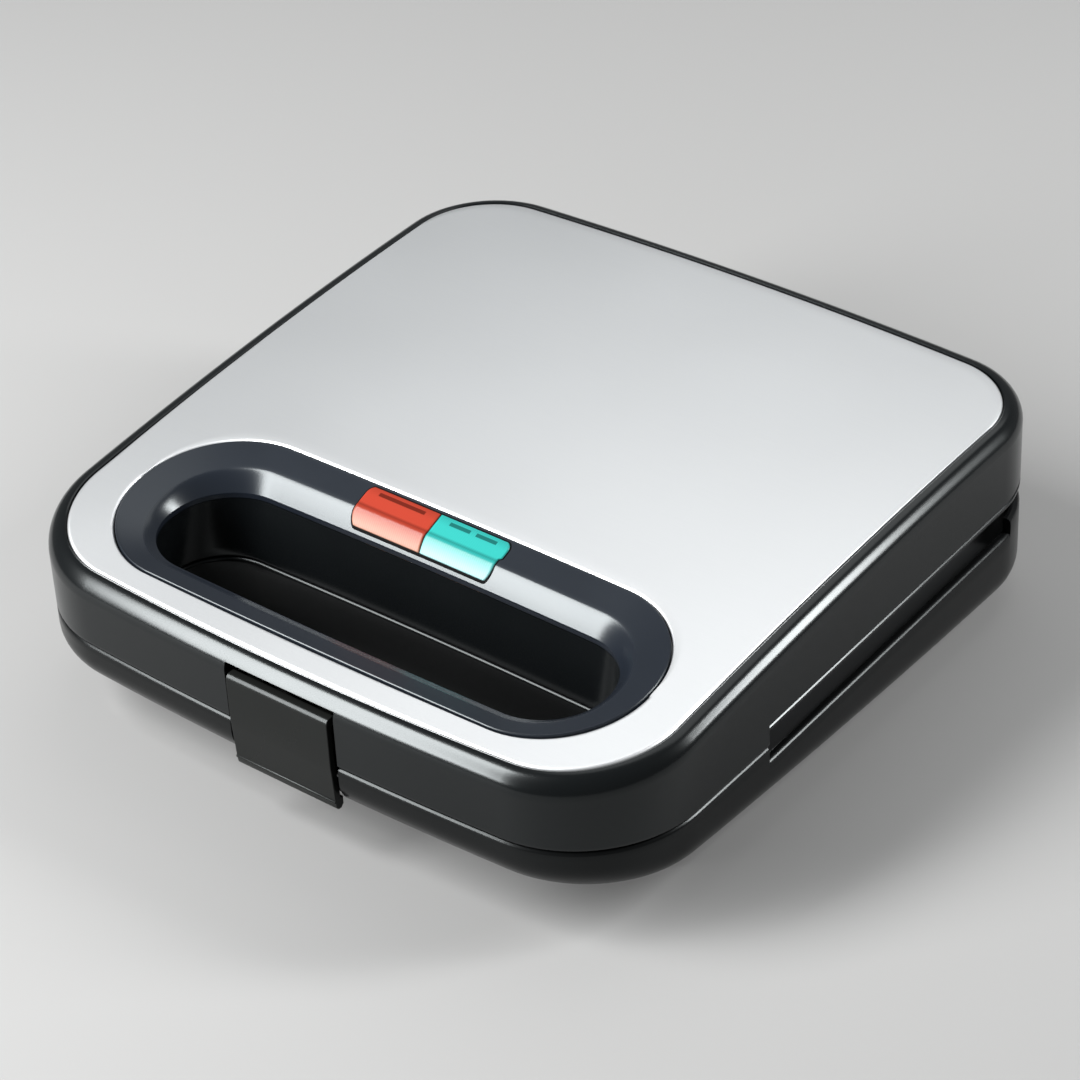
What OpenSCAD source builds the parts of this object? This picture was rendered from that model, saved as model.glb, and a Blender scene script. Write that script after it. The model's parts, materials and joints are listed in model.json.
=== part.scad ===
// Two-slice sandwich maker: a crowned steel-topped lid on a rear hinge, a through handle at the
// front with a snap latch, and a pair of plates with triangular pockets.
// X runs to the right, Y to the rear, Z up. The origin is under the middle of the whole part.

/* [Housing] */
// Width of the steel top plate
plate_w = 220; // [200:1:250]
// Depth of the steel top plate at its sides
plate_d = 217.6; // [200:0.2:245]
// Distance from the edge of the top plate out to the housing wall, and radius of the shoulder
shoulder_r = 5.8; // [4:0.1:8]
// Radius of the front corners of the top plate
front_corner_r = 32; // [24:0.5:40]
// Radius of the rear corners of the top plate
rear_corner_r = 25.5; // [20:0.5:36]
// How far the front edge bows forward at its middle
front_bow = 4.9; // [2:0.1:8]
// How far the rear edge bows back at its middle
rear_bow = 4.5; // [2:0.1:8]
// Wall thickness of the mouldings
wall_t = 2.6; // [2:0.1:3.4]
// Height of the lid above the seam at the front edge of the top plate
lid_front_h = 24; // [22:0.5:28]
// Height of the lid above the seam half way back
lid_mid_h = 34; // [31:0.5:38]
// Height of the lid above the seam at the rear edge of the top plate
lid_rear_h = 36.7; // [33:0.1:42]
// Depth of the base below the seam at the front edge
base_front_h = 16.6; // [15:0.2:20]
// Depth of the base below the seam half way back
base_mid_h = 24; // [23:0.5:28]
// Depth of the base below the seam at the rear edge
base_rear_h = 26.4; // [25:0.2:30]
// Radius of the lower edge of the base
base_edge_r = 10; // [6:0.5:11]
// Gap between lid and base along the front
seam_gap = 0.6; // [0.4:0.1:1.2]
// Thickness of the steel top plate
plate_t = 0.8; // [0.5:0.1:1.2]
// Thickness of the lid moulding under the top plate
deck_t = 2.4; // [1.8:0.1:3]

/* [Side gap] */
// Distance of the front end of the side gap ahead of the cooking plates
gap_ahead = 6; // [4:0.5:10]
// Height of the lid edge over the seam at the front end of the side gap
gap_lid_front_h = 5.6; // [5.2:0.1:6.4]
// Height of the lid edge over the seam at the rear
gap_lid_rear_h = 8.6; // [8.4:0.1:9.4]
// Depth of the base edge under the seam at the front end of the side gap
gap_base_front_h = 5.6; // [5:0.1:6.4]
// Depth of the base edge under the seam at the rear end of the side gap
gap_base_rear_h = 2.4; // [1.5:0.1:4]
// Distance of the rear end of the side gap ahead of the rear edge of the top plate
gap_rear_in = 20.8; // [15:0.2:24]
// Height of the base's rear rim over the seam
rear_rim_h = 2.4; // [1:0.1:3.4]

/* [Handle] */
// Width of the handle bezel
bezel_w = 190.2; // [176:0.2:196]
// Depth of the handle bezel
bezel_d = 64.4; // [58:0.2:68]
// Distance of the bezel behind the front edge of the top plate, both at their sides
bezel_in = 5.7; // [4:0.1:8]
// Bow of the long edges of the bezel
bezel_bow = 1.2; // [0.6:0.1:2]
// Width of the finger opening where the bezel ends
well_w = 163; // [150:1:168]
// Depth of the finger opening where the bezel ends
well_d = 41; // [36:0.5:44]
// Distance of the finger opening behind the front edge of the bezel
well_in = 9.6; // [8:0.1:12]
// How much further forward the rear wall of the opening stands at the seam
well_draft = 5; // [2:0.5:8]
// Height of the finger opening's rim over the seam
well_rim_h = 22; // [20:0.5:23]
// Wall thickness of the finger opening
well_wall = 2.2; // [1.8:0.1:2.8]
// Drop of the bezel's sloping band below the top plate at its inner line
band_drop = 2.1; // [1.5:0.1:3]
// Thickness of the bezel moulding
bezel_t = 2; // [1.6:0.1:2.4]

/* [Lamps] */
// Width of each lamp lens
lens_w = 27; // [22:0.5:30]
// Distance of the joint between the two lenses left of the middle
lens_x = 4; // [0:0.5:8]
// Thickness of the lenses
lens_t = 2.4; // [1.8:0.1:2.8]
// How far the lenses stand proud of the bezel
lens_proud = 0.5; // [0.2:0.1:0.8]
// Diameter of the neon lamps
lamp_d = 4.8; // [4:0.1:5.4]
// Length of the neon lamps
lamp_len = 18; // [14:0.5:22]

/* [Latch] */
// Width of the latch
latch_w = 38; // [30:0.5:46]
// Height of the top of the latch over the seam
latch_top_h = 17; // [16:0.2:18]
// Depth of the bottom of the latch under the seam
latch_low_h = 16.4; // [15.4:0.2:18]
// Thickness of the latch
latch_t = 2.2; // [1.8:0.1:2.6]
// How far the latch stands proud of the front wall
latch_proud = 1.2; // [0.6:0.1:1.6]
// Diameter of the latch pin
latch_pin_d = 2.6; // [2:0.1:3.2]
// Height of the latch pin over the seam
latch_pin_h = 11; // [10:0.2:12]
// Distance of the latch pin behind the front wall
latch_pin_in = 6; // [5.5:0.1:6.5]
// Height of the catch rib that the latch hooks under
catch_h = 3; // [2:0.1:3.4]

/* [Hinge] */
// Diameter of the hinge pins
hinge_pin_d = 4; // [3:0.1:5]
// Outer diameter of the hinge knuckles
knuckle_d = 12; // [11:0.2:12.4]
// Height of the hinge axis over the seam
hinge_h = 2; // [1.6:0.1:2.2]
// Distance of the hinge axis ahead of the rear wall
hinge_in = 2; // [1.4:0.1:3]
// Distance of the middle of each hinge from the middle of the part
hinge_x = 70; // [60:1:74]
// Width of the lid knuckles
lid_knuckle_w = 11; // [8:0.5:14]
// Width of the base knuckles
base_knuckle_w = 8; // [6:0.5:10]
// Running clearance of the pins in the lid knuckles
pin_clear = 0.06; // [0.02:0.01:0.1]
// Sideways clearance of the knuckles
knuckle_gap = 0.5; // [0.3:0.1:0.8]

/* [Cooking plates] */
// Distance of the cooking plates from the faces of the side walls
cook_side_in = 10.8; // [8.8:0.2:17.8]
// Distance of the rear of the cooking plates ahead of the rear wall at its sides
cook_rear_in = 16.6; // [15:0.2:26]
// Distance of the front of the cooking plates behind the finger opening
cook_front_in = 16.5; // [14.5:0.5:18.5]
// Corner radius of the cooking plates
cook_r = 14; // [8:0.5:20]
// Gap between the closed cooking plates
cook_gap = 0.8; // [0.6:0.1:1.4]
// Depth of the triangular pockets
pocket_h = 7; // [5:0.5:7.4]
// Width of the rim round the pockets
cook_rim = 8; // [6:0.5:12]
// Width of the ridges between the pockets
ridge_w = 5; // [4:0.5:8]
// How far the pocket walls lean in from top to bottom
pocket_lean = 5; // [3:0.5:8]
// Corner radius of the pockets
pocket_r = 6; // [5.5:0.5:9]
// Thickness of metal under the pockets
cook_t = 2.6; // [2:0.1:3]

/* [Inside] */
// Diameter of the heating elements
element_d = 5.6; // [4.5:0.1:6]
// Radius of the bends of the heating elements
element_bend_r = 16; // [10:1:24]
// Thickness of the heat reflectors
reflector_t = 0.6; // [0.4:0.1:1]
// Diameter of the thermostat
thermostat_d = 17; // [14:0.5:20]
// Height of the thermostat
thermostat_h = 4.6; // [4:0.1:5.2]
// Diameter of the thermal fuse
fuse_d = 4; // [3:0.1:5]
// Length of the thermal fuse
fuse_len = 14; // [10:0.5:18]
// Diameter of the cord opening in the gland
cord_d = 6.6; // [5:0.1:8]
// Diameter of the housing screws
screw_d = 3; // [2.5:0.1:3.5]

/* [Feet] */
// Gap between the lowest point of the base and the table
ground_gap = 6.2; // [5:0.2:10]
// Diameter of the rubber feet
foot_d = 13; // [10:0.5:16]
// Thickness of the rubber feet
foot_t = 3; // [2:0.1:4]

/* [Hidden] */
$fn = 48;
overrun = 1;
// Steps along the edges, corners and sides of every outline, and round the arcs of every profile
edge_steps = 5;
corner_steps = 6;
side_steps = 6;
arc_steps = 4;

// Clearances of parts that fit together, and of parts that lie on each other
fit_gap = 0.3;
bed_gap = 0.1;
// Gap between the top plate and the mouldings round it
plate_gap = 0.4;

half_w = plate_w / 2 + shoulder_r;
half_d = plate_d / 2 + shoulder_r;
front_wall_y = half_d + front_bow;
rear_wall_y = half_d + rear_bow;

// Hinge
hinge_y = rear_wall_y - hinge_in;
knuckle_r = knuckle_d / 2;
hinge_pin_len = lid_knuckle_w + 2 * base_knuckle_w;
hinge_half = hinge_pin_len / 2 + knuckle_gap;
slot_half = lid_knuckle_w / 2 + knuckle_gap;
slot_r = knuckle_r + knuckle_gap + hinge_in;
gusset_h = 2.2 * knuckle_r;

// Cord gland
gland_wall = 1.8;
gland_rim = 2.2;
gland_flange_t = 2.4;
gland_d = cord_d + 2 * gland_wall;
gland_flange_d = gland_d + 2 * gland_rim;
gland_h = 14.5;
gland_in = wall_t + gland_wall;

// Position of the part about its origin
front_reach = front_wall_y + latch_proud;
rear_reach = max(hinge_y + knuckle_r, rear_wall_y + gland_flange_t);
mid_y = (rear_reach - front_reach) / 2;
low_samples = 20;
lowest = max([for (i = [0 : low_samples]) base_low(plate_d / 2 * i / low_samples)]);
seam_z = lowest + ground_gap;

// Handle: places of the bezel and the finger opening ahead of the middle of the top plate
bezel_y = plate_d / 2 - bezel_in - bezel_d / 2;
well_y = bezel_y + bezel_d / 2 - well_in - well_d / 2;

// Places of the cooking plates' front and the ends of the side gap ahead of and behind the middle
cook_front_y = well_y - well_d / 2 - cook_front_in;
gap_front_y = cook_front_y + gap_ahead;
gap_rear_y = plate_d / 2 - gap_rear_in;

// Heights over the seam of the plates and what is behind them; the base mirrors them downwards
cook_w = 2 * (half_w - cook_side_in);
cook_d = half_d - cook_rear_in + cook_front_y;
cook_low = cook_gap / 2;
liner_low = 6;
liner_t = 2.4;
liner_high = liner_low + liner_t;
basin_high = cook_low + pocket_h + cook_t;
element_mid = basin_high + bed_gap + element_d / 2;
reflector_low = basin_high + bed_gap;
reflector_high = reflector_low + element_d + 2 * bed_gap;
cook_mid_y = cook_d / 2 - cook_front_y;
liner_step_y = gap_front_y + liner_t;
liner_inset = wall_t + fit_gap;
// Width of the plates' flange on the liner, and how far the basins and the reflector stand inside it
flange_w = 7;
basin_in = flange_w + 2 * bed_gap + fit_gap;
reflector_in = basin_in + reflector_t + wall_t;
cook_min_r = 2;
pocket_half_w = (cook_w / 2 - cook_rim) / 2;
pocket_half_d = cook_d / 2 - cook_rim;
// Steps down a pocket's wall, as shares of its lean and of its depth
pocket_shares = [[0, 0], [0.35, 0.55], [0.62, 0.85], [1, 1]];

// Housing screws: their heads, the bosses they go through and their four places
screw_head_d = 2 * screw_d - fit_gap;
screw_head_t = 0.7 * screw_d;
screw_len = 4 * screw_d;
boss_d = screw_head_d + wall_t;
seat_h = liner_low + screw_head_t + fit_gap;
boss_h = seat_h + wall_t - fit_gap;
base_head_h = boss_h + wall_t + fit_gap;
pilot_h = liner_low + wall_t / 2;
screw_side_in = 16;
screw_ahead = 24;
screw_hinge_x = 30;
screw_front_x = half_w - screw_side_in;
screw_front_y = cook_front_y + screw_ahead;
screw_rear_x = hinge_x - screw_hinge_x;
screw_rear_y = half_d - (cook_rear_in + wall_t) / 2;

// Feet under the corners of the base
foot_front_side_in = 23.5;
foot_rear_side_in = 18;
foot_front_in = 44;
foot_rear_in = 31;
foot_front_x = half_w - foot_front_side_in;
foot_rear_x = half_w - foot_rear_side_in;
foot_front_y = half_d - foot_front_in;
foot_rear_y = half_d - foot_rear_in;
foot_seat_z = foot_t - seam_z;
foot_stem_d = foot_d / 2;
foot_stem_h = 5;
foot_boss_rim = 1;
foot_boss_low_d = foot_d + 2 * foot_boss_rim;
foot_boss_high_d = foot_boss_low_d + 3 * foot_boss_rim;
foot_boss_top_z = -reflector_high - reflector_t - fit_gap;

// Latch, its pocket in the lid and its catch on the base
latch_gap = 0.6;
latch_half = latch_w / 2 + latch_gap;
latch_pin_y = front_wall_y - latch_pin_in;
latch_pin_len = 2 * latch_half + wall_t;
latch_pocket_in = 5.5;
latch_pocket_over = 8.8;
latch_pocket_y = latch_pin_y - latch_pocket_in;
latch_pocket_top = latch_pin_h + latch_pocket_over;
ear_d = 7;
ear_w = 6;
catch_h_low = 9;
catch_in = 5.2;
catch_back = 3.3;
catch_front_y = front_wall_y - catch_back;
hook_h = catch_h_low + catch_h + latch_gap;
latch_round = 1;
latch_low_y = front_reach - latch_gap;

// Bezel, and the funnel under it
bezel_side_share = 0.01;
bezel_lip_share = 0.1;
bezel_lip = 1.2;
bezel_high = fit_gap;
funnel_t = 2;

// Lenses and lamps
lens_x_low = -lens_x - lens_w - fit_gap;
lens_x_high = -lens_x + lens_w + fit_gap;
lens_back_in = 1.4;
lens_flat = 8.8;
lens_bend = 3.9;
lens_over_rim = 2.4;
lens_back_y = bezel_y - bezel_d / 2 - bezel_bow + lens_back_in;
lens_bend_y = lens_back_y + lens_flat;
lens_low_y = lens_bend_y + lens_bend;
lens_low_z = well_rim_h + lens_over_rim;
lamp_drop = 6;
lamp_shelf_z = well_rim_h - bezel_t - lamp_drop;
lamp_holder_d = 8;
lamp_bed_t = 1.4;
lamp_end = 2;
lamp_y = well_y - well_d / 2 - well_wall - lamp_holder_d / 2 - fit_gap;
lamp_z = lamp_shelf_z + lamp_bed_t + lamp_d / 2;

// Terminal block and its pad
terminal_w = 34;
terminal_d = 12;
terminal_h = 7;
terminal_hole_d = 4;
terminal_drop = 9;
terminal_y = half_d - cook_rear_in;
terminal_z = -basin_high - terminal_drop;

// Height of the lid's top and depth of the base's underside at a distance y behind the middle
function through_three(front, mid, rear, y) = let (t = 2 * y / plate_d)
    mid + (rear - front) / 2 * t + ((rear + front) / 2 - mid) * t * t;
function lid_top(y) = through_three(lid_front_h, lid_mid_h, lid_rear_h, y);
function base_low(y) = through_three(base_front_h, base_mid_h, base_rear_h, y);

// Right half of a rounded rectangle from its front middle to its rear middle
function half_outline(hw, hd, rf, rr) = concat(
    [for (i = [0 : edge_steps - 1]) [(hw - rf) * i / edge_steps, -hd]],
    [for (i = [0 : corner_steps]) let (a = 90 * i / corner_steps)
        [hw - rf + rf * sin(a), rf - hd - rf * cos(a)]],
    [for (i = [1 : side_steps - 1]) [hw, rf - hd + (2 * hd - rf - rr) * i / side_steps]],
    [for (i = [0 : corner_steps]) let (a = 90 * i / corner_steps)
        [hw - rr + rr * cos(a), hd - rr + rr * sin(a)]],
    [for (i = [1 : edge_steps]) [(hw - rr) * (1 - i / edge_steps), hd]]);

// Whole outline, its front and rear edges bowed by parabolas and its middle set forward by ahead
function outline(hw, hd, rf, rr, bf, br, ahead = 0) = let (
    h = [for (p = half_outline(hw, hd, rf, rr))
        [p[0], p[1] + p[1] / hd * (p[1] < 0 ? bf : br) * (1 - pow(p[0] / hw, 2)) - ahead]],
    m = len(h))
    concat(h, [for (i = [m - 2 : -1 : 1]) [-h[i][0], h[i][1]]]);

// Outline of the housing, moved in by inset
function body_outline(inset) = outline(half_w - inset, half_d - inset, front_corner_r + shoulder_r - inset,
    rear_corner_r + shoulder_r - inset, front_bow, rear_bow);

// Outline of the bezel moved in by inset, and of the finger opening at a height over the seam
function stadium(w, d, bow, ahead) = outline(w / 2, d / 2, d * (0.5 - bezel_side_share),
    d * (0.5 - bezel_side_share), bow, bow, ahead);
function bezel_outline(inset) = stadium(bezel_w - 2 * inset, bezel_d - 2 * inset, bezel_bow, bezel_y);
function well_outline(inset, z) = let (draft = well_draft * (1 - max(z, -overrun) / (well_rim_h - bezel_t)))
    stadium(well_w - 2 * inset, well_d - draft - 2 * inset, bezel_bow, well_y + draft / 2);
function mixed(a, b, t) = [for (i = [0 : len(a) - 1]) a[i] * (1 - t) + b[i] * t];

// Rings of points: at one height, or at a distance under the lid's top or over the base's underside
function flat_ring(o, z) = [for (p = o) [p[0], p[1], z]];
function top_ring(o, below) = [for (p = o) [p[0], p[1], lid_top(p[1]) - below]];
function low_ring(o, above) = [for (p = o) [p[0], p[1], above - base_low(p[1])]];

// Triangles between neighbouring rings of n points; the last ring joins the first where closed is 1
function ring_faces(n, m, closed) = [for (j = [0 : m - 2 + closed], i = [0 : n - 1], k = [0, 1]) let (
    a = j * n + i, b = j * n + (i + 1) % n, d = ((j + 1) % m) * n + i, c = ((j + 1) % m) * n + (i + 1) % n)
    k == 0 ? [a, d, c] : [a, c, b]];

// Closed skin over a stack of rings. Each end is closed by strips between its left and right points.
module skin(rings) {
    n = len(rings[0]);
    last = (len(rings) - 1) * n;
    strips = concat([[0, 1, n - 1]], [for (i = [1 : n / 2 - 2]) [i, i + 1, n - i - 1, n - i]],
        [[n / 2 - 1, n / 2, n / 2 + 1]]);
    top = [for (s = strips) [for (k = [len(s) - 1 : -1 : 0]) s[k] + last]];
    polyhedron([for (r = rings, p = r) p], concat(ring_faces(n, len(rings), 0), strips, top));
}

// Closed band whose cross-section runs through the rings and back to the first
module band(rings) {
    polyhedron([for (r = rings, p = r) p], ring_faces(len(rings[0]), len(rings), 1));
}

// Prism over an outline from z0 to z1
module prism(o, z0, z1) {
    translate([0, 0, z0]) linear_extrude(z1 - z0) polygon(o);
}

// Puts a piece that is drawn about the seam and the middle of the top plate into the part
module placed() {
    translate([0, -mid_y, seam_z]) children();
}

// Turns a piece of the lid into its twin in the base
module turned_down() {
    mirror([0, 0, 1]) children();
}

// Box from one corner to the other
module block(low, high) {
    translate(low) cube(high - low);
}

// Extrusion of a side view, with its points as distances to the rear and up, from x0 to x1
module side_view(points, x0, x1) {
    translate([x0, 0, 0]) rotate([90, 0, 90]) linear_extrude(x1 - x0) polygon(points);
}

// Rod along X
module rod(d, x0, x1, y, z) {
    translate([x0, y, z]) rotate([0, 90, 0]) cylinder(d = d, h = x1 - x0);
}

// Post from z0 to z1
module post(d, z0, z1) {
    translate([0, 0, z0]) cylinder(d = d, h = z1 - z0);
}

// Places of the four housing screws and of the four feet
module at_screws() {
    for (s = [-1, 1]) {
        translate([s * screw_front_x, -screw_front_y, 0]) children();
        translate([s * screw_rear_x, screw_rear_y, 0]) children();
    }
}
module at_feet() {
    for (s = [-1, 1]) {
        translate([s * foot_front_x, -foot_front_y, 0]) children();
        translate([s * foot_rear_x, foot_rear_y, 0]) children();
    }
}
module at_hinges() {
    for (s = [-1, 1]) translate([s * hinge_x, 0, 0]) children();
}

// Wall round the finger opening, or the opening itself, following its draught
module well_solid(inset, z0, z1) {
    skin([flat_ring(well_outline(inset, z0), z0), flat_ring(well_outline(inset, z1), z1)]);
}

// Crowned block of the whole lid
module lid_block() {
    arc = [for (i = [0 : arc_steps]) 90 * i / arc_steps];
    skin(concat(
        [flat_ring(body_outline(0), seam_gap / 2)],
        [for (a = arc) top_ring(body_outline(shoulder_r * (1 - cos(a))), shoulder_r * (1 - sin(a)))],
        [top_ring(body_outline(shoulder_r), plate_t + bed_gap)]));
}

// Hollow of the lid
module lid_hollow() {
    under = plate_t + bed_gap + deck_t;
    corner = shoulder_r - wall_t / 2;
    skin([flat_ring(body_outline(wall_t), -overrun), top_ring(body_outline(wall_t), under + corner),
        top_ring(body_outline(wall_t + corner), under)]);
}

// Rings on the way from the bezel's edge, share 0, to the finger opening, share 1. They lie at a drop
// under the top plate that passes over, by the share level, to the height of the opening's rim.
function bezel_ring(t, drop, level) = let (
    o = mixed(bezel_outline(0), well_outline(0, well_rim_h - bezel_t), t),
    rim = well_rim_h - (level == 1 ? drop : 0))
    [for (q = top_ring(o, drop)) [q[0], q[1], q[2] * (1 - level) + rim * level]];

// Funnel of the lid moulding that carries the bezel and runs down to the wall of the opening
module funnel() {
    under = plate_t + bed_gap + fit_gap;
    low = band_drop + bezel_t + fit_gap;
    rim = bezel_t + fit_gap;
    band([bezel_ring(bezel_lip_share / 2, under + fit_gap, 0), bezel_ring(2 * bezel_lip_share, under, 0),
        bezel_ring(0.64, low, 0.1), bezel_ring(0.85, rim, 1), bezel_ring(1, rim, 1),
        bezel_ring(1, rim + 2 * funnel_t, 1), bezel_ring(0.8, rim + funnel_t, 1),
        bezel_ring(0.6, low + funnel_t, 0.1), bezel_ring(bezel_lip_share / 2, under + funnel_t, 0)]);
}

// Knuckle of the lid with the neck that joins it to the rear wall
module lid_knuckle() {
    half = lid_knuckle_w / 2;
    neck_h = gap_lid_rear_h + wall_t;
    rod(knuckle_d, -half, half, hinge_y, hinge_h);
    side_view([[hinge_y - knuckle_r, hinge_h], [hinge_y + knuckle_r / 2, hinge_h],
        [rear_wall_y - fit_gap, neck_h], [hinge_y - knuckle_r, neck_h]], -half, half);
}

// Side gap of the lid: its edge rises evenly to the rear
module lid_side_gap() {
    slope = (gap_lid_rear_h - gap_lid_front_h) / (gap_rear_y + gap_front_y);
    far = rear_reach + overrun;
    side = half_w + overrun;
    side_view([[-gap_front_y, -overrun], [-gap_front_y, gap_lid_front_h],
        [far, gap_lid_front_h + slope * (far + gap_front_y)], [far, -overrun]], -side, side);
}

// Pocket in the front wall of the lid that holds the latch, grown by its own walls
module latch_pocket(wall, front_y) {
    block([-latch_half - wall, -front_y, -overrun],
        [latch_half + wall, wall - latch_pocket_y, latch_pocket_top + wall]);
}

module lid_shell() color("#16181a") placed() difference() {
    union() {
        difference() {
            union() {
                difference() {
                    lid_block();
                    lid_hollow();
                    prism(bezel_outline(bezel_lip), seam_gap, lid_rear_h);
                }
                intersection() {
                    lid_block();
                    union() {
                        latch_pocket(wall_t, front_wall_y);
                        at_screws() post(boss_d, boss_h, lid_rear_h);
                    }
                }
                well_solid(-well_wall, seam_gap / 2, well_rim_h - bezel_t - fit_gap);
                funnel();
            }
            lid_side_gap();
        }
        at_hinges() lid_knuckle();
        block([lens_x_low, -well_y + well_d / 2, lamp_shelf_z - well_wall],
            [lens_x_high, lamp_holder_d / 2 - lamp_y, lamp_shelf_z]);
    }
    well_solid(0, -overrun, well_rim_h);
    block([lens_x_low, -lamp_y - lamp_holder_d / 2, lamp_shelf_z],
        [lens_x_high, fit_gap - lens_back_y, lid_rear_h]);
    latch_pocket(0, front_wall_y + overrun);
    rod(latch_pin_d, -latch_pin_len / 2, latch_pin_len / 2, -latch_pin_y, latch_pin_h);
    at_screws() post(screw_d + 2 * pin_clear, 0, seat_h + screw_len + bed_gap);
    at_hinges() rod(hinge_pin_d + 2 * pin_clear, -lid_knuckle_w, lid_knuckle_w, hinge_y, hinge_h);
}

// Base block with its wedge-shaped underside
module base_block() {
    arc = [for (i = [arc_steps : -1 : 0]) 90 * i / arc_steps];
    skin(concat(
        [for (a = arc) low_ring(body_outline(base_edge_r * (1 - cos(a))), base_edge_r * (1 - sin(a)))],
        [flat_ring(body_outline(0), rear_rim_h)]));
}

// Hollow of the base, its lower edge a bevel inside the rounded one
module base_hollow() {
    corner = base_edge_r - wall_t;
    bend_share = 0.3;
    bend = wall_t + corner * bend_share;
    skin([low_ring(body_outline(base_edge_r), wall_t), low_ring(body_outline(bend), bend),
        low_ring(body_outline(wall_t), base_edge_r), flat_ring(body_outline(wall_t), rear_rim_h + overrun)]);
}

// What lies over the base's edge: the seam in front, the side gap, and nothing over the rear rim
module base_top_cut() {
    top = rear_rim_h + overrun;
    far = -front_wall_y - overrun;
    side = half_w + overrun;
    side_view([[far, -seam_gap / 2], [-gap_front_y, -seam_gap / 2], [-gap_front_y, -gap_base_front_h],
        [gap_rear_y, -gap_base_rear_h], [gap_rear_y, top], [far, top]], -side, side);
}

// Two knuckles of the base, each on a gusset that runs down the rear wall
module base_knuckles() {
    for (x0 = [-hinge_pin_len / 2 - knuckle_gap, slot_half]) {
        rod(knuckle_d, x0, x0 + base_knuckle_w, hinge_y, hinge_h);
        side_view([[hinge_y - knuckle_r, hinge_h], [hinge_y + knuckle_r, hinge_h],
            [rear_wall_y, hinge_h - gusset_h], [hinge_y - knuckle_r, hinge_h - gusset_h]],
            x0, x0 + base_knuckle_w);
    }
}

// Recess in the front of the base behind the latch, with the catch rib left standing in it
module catch_recess() {
    difference() {
        block([-latch_half, -front_wall_y - overrun, -seam_z], [latch_half, catch_in - front_wall_y, 0]);
        block([-latch_half, -catch_front_y, -catch_h_low - catch_h],
            [latch_half, catch_in - front_wall_y, -catch_h_low]);
    }
}

module base_shell() color("#1a1b1c") placed() difference() {
    union() {
        difference() {
            union() {
                difference() {
                    base_block();
                    base_hollow();
                }
                intersection() {
                    base_block();
                    union() {
                        well_solid(-well_wall, -seam_z, -seam_gap / 2);
                        at_screws() post(boss_d, -seam_z, -boss_h);
                        block([-terminal_w / 2, terminal_y - terminal_d / 2, -seam_z],
                            [terminal_w / 2, terminal_y + terminal_d / 2, terminal_z]);
                        block([-latch_half - wall_t, -front_wall_y, -seam_z],
                            [latch_half + wall_t, catch_in + wall_t - front_wall_y, -seam_gap / 2]);
                    }
                }
            }
            base_top_cut();
        }
        at_feet() translate([0, 0, foot_seat_z])
            cylinder(d1 = foot_boss_low_d, d2 = foot_boss_high_d, h = foot_boss_top_z - foot_seat_z);
        at_hinges() base_knuckles();
    }
    well_solid(0, -seam_z, rear_rim_h);
    at_hinges() {
        rod(2 * slot_r, -slot_half, slot_half, hinge_y, hinge_h);
        rod(hinge_pin_d, -hinge_half, hinge_half, hinge_y, hinge_h);
    }
    at_screws() {
        post(screw_d + 2 * pin_clear, -seam_z, 0);
        post(screw_head_d + fit_gap, -seam_z, -base_head_h);
    }
    at_feet() post(foot_stem_d, -seam_z, foot_seat_z + foot_stem_h);
    translate([0, rear_wall_y - gland_in - overrun, -gland_h]) rotate([-90, 0, 0])
        cylinder(d = gland_d, h = gland_in + 2 * overrun);
    catch_recess();
}

// Moulded frame that closes the underside of the lid; it steps up round the cooking plate.
// Where open is 1 the screws pass through it, and where it is 0 they end in it.
module liner(open) {
    o = body_outline(liner_inset);
    front = -front_wall_y;
    difference() {
        union() {
            intersection() {
                prism(o, cook_low, cook_low + liner_t);
                block([-half_w, front, 0], [half_w, -gap_front_y, liner_high]);
            }
            intersection() {
                prism(o, liner_low, liner_high);
                block([-half_w, -liner_step_y, 0], [half_w, rear_wall_y, boss_h]);
            }
            intersection() {
                prism(o, cook_low, liner_high);
                block([-half_w, -liner_step_y, 0], [half_w, -gap_front_y, boss_h]);
            }
            intersection() {
                prism(o, cook_low, boss_h - bed_gap);
                at_screws() post(boss_d, liner_low, boss_h);
            }
            for (s = [-1, 1]) translate([s * screw_front_x, -screw_front_y, 0])
                post(boss_d, cook_low, boss_h - bed_gap);
        }
        well_solid(-well_wall - fit_gap, -overrun, boss_h);
        cook_slab(flange_w, liner_low - overrun, boss_h);
        if (open == 1) at_screws() {
            post(screw_d + fit_gap, 0, boss_h);
            post(screw_head_d + fit_gap, 0, seat_h);
        } else at_screws() post(screw_d + 2 * pin_clear, pilot_h, boss_h);
        block([-latch_half - wall_t - fit_gap, front - overrun, 0],
            [latch_half + wall_t + fit_gap, wall_t + fit_gap - latch_pocket_y, boss_h]);
        at_hinges() block([-hinge_half - fit_gap, hinge_y - slot_r, liner_low - overrun],
            [hinge_half + fit_gap, rear_wall_y, boss_h]);
    }
}
module base_liner() color("#202122") placed() turned_down() liner(0);
module lid_liner() color("#202122") placed() liner(1);

// Rounded rectangle about the middle of the cooking plates, made of true arcs
module cook_shape(inset) {
    w = cook_w / 2 - inset;
    d = cook_d / 2 - inset;
    r = max(cook_r - inset, cook_min_r);
    translate([0, cook_mid_y]) {
        translate([r - w, -d]) square([2 * (w - r), 2 * d]);
        translate([-w, r - d]) square([2 * w, 2 * (d - r)]);
        for (x = [-1, 1], y = [-1, 1]) translate([x * (w - r), y * (d - r)]) circle(r);
    }
}
module cook_slab(inset, z0, z1) {
    translate([0, 0, z0]) linear_extrude(z1 - z0) cook_shape(inset);
}

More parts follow.
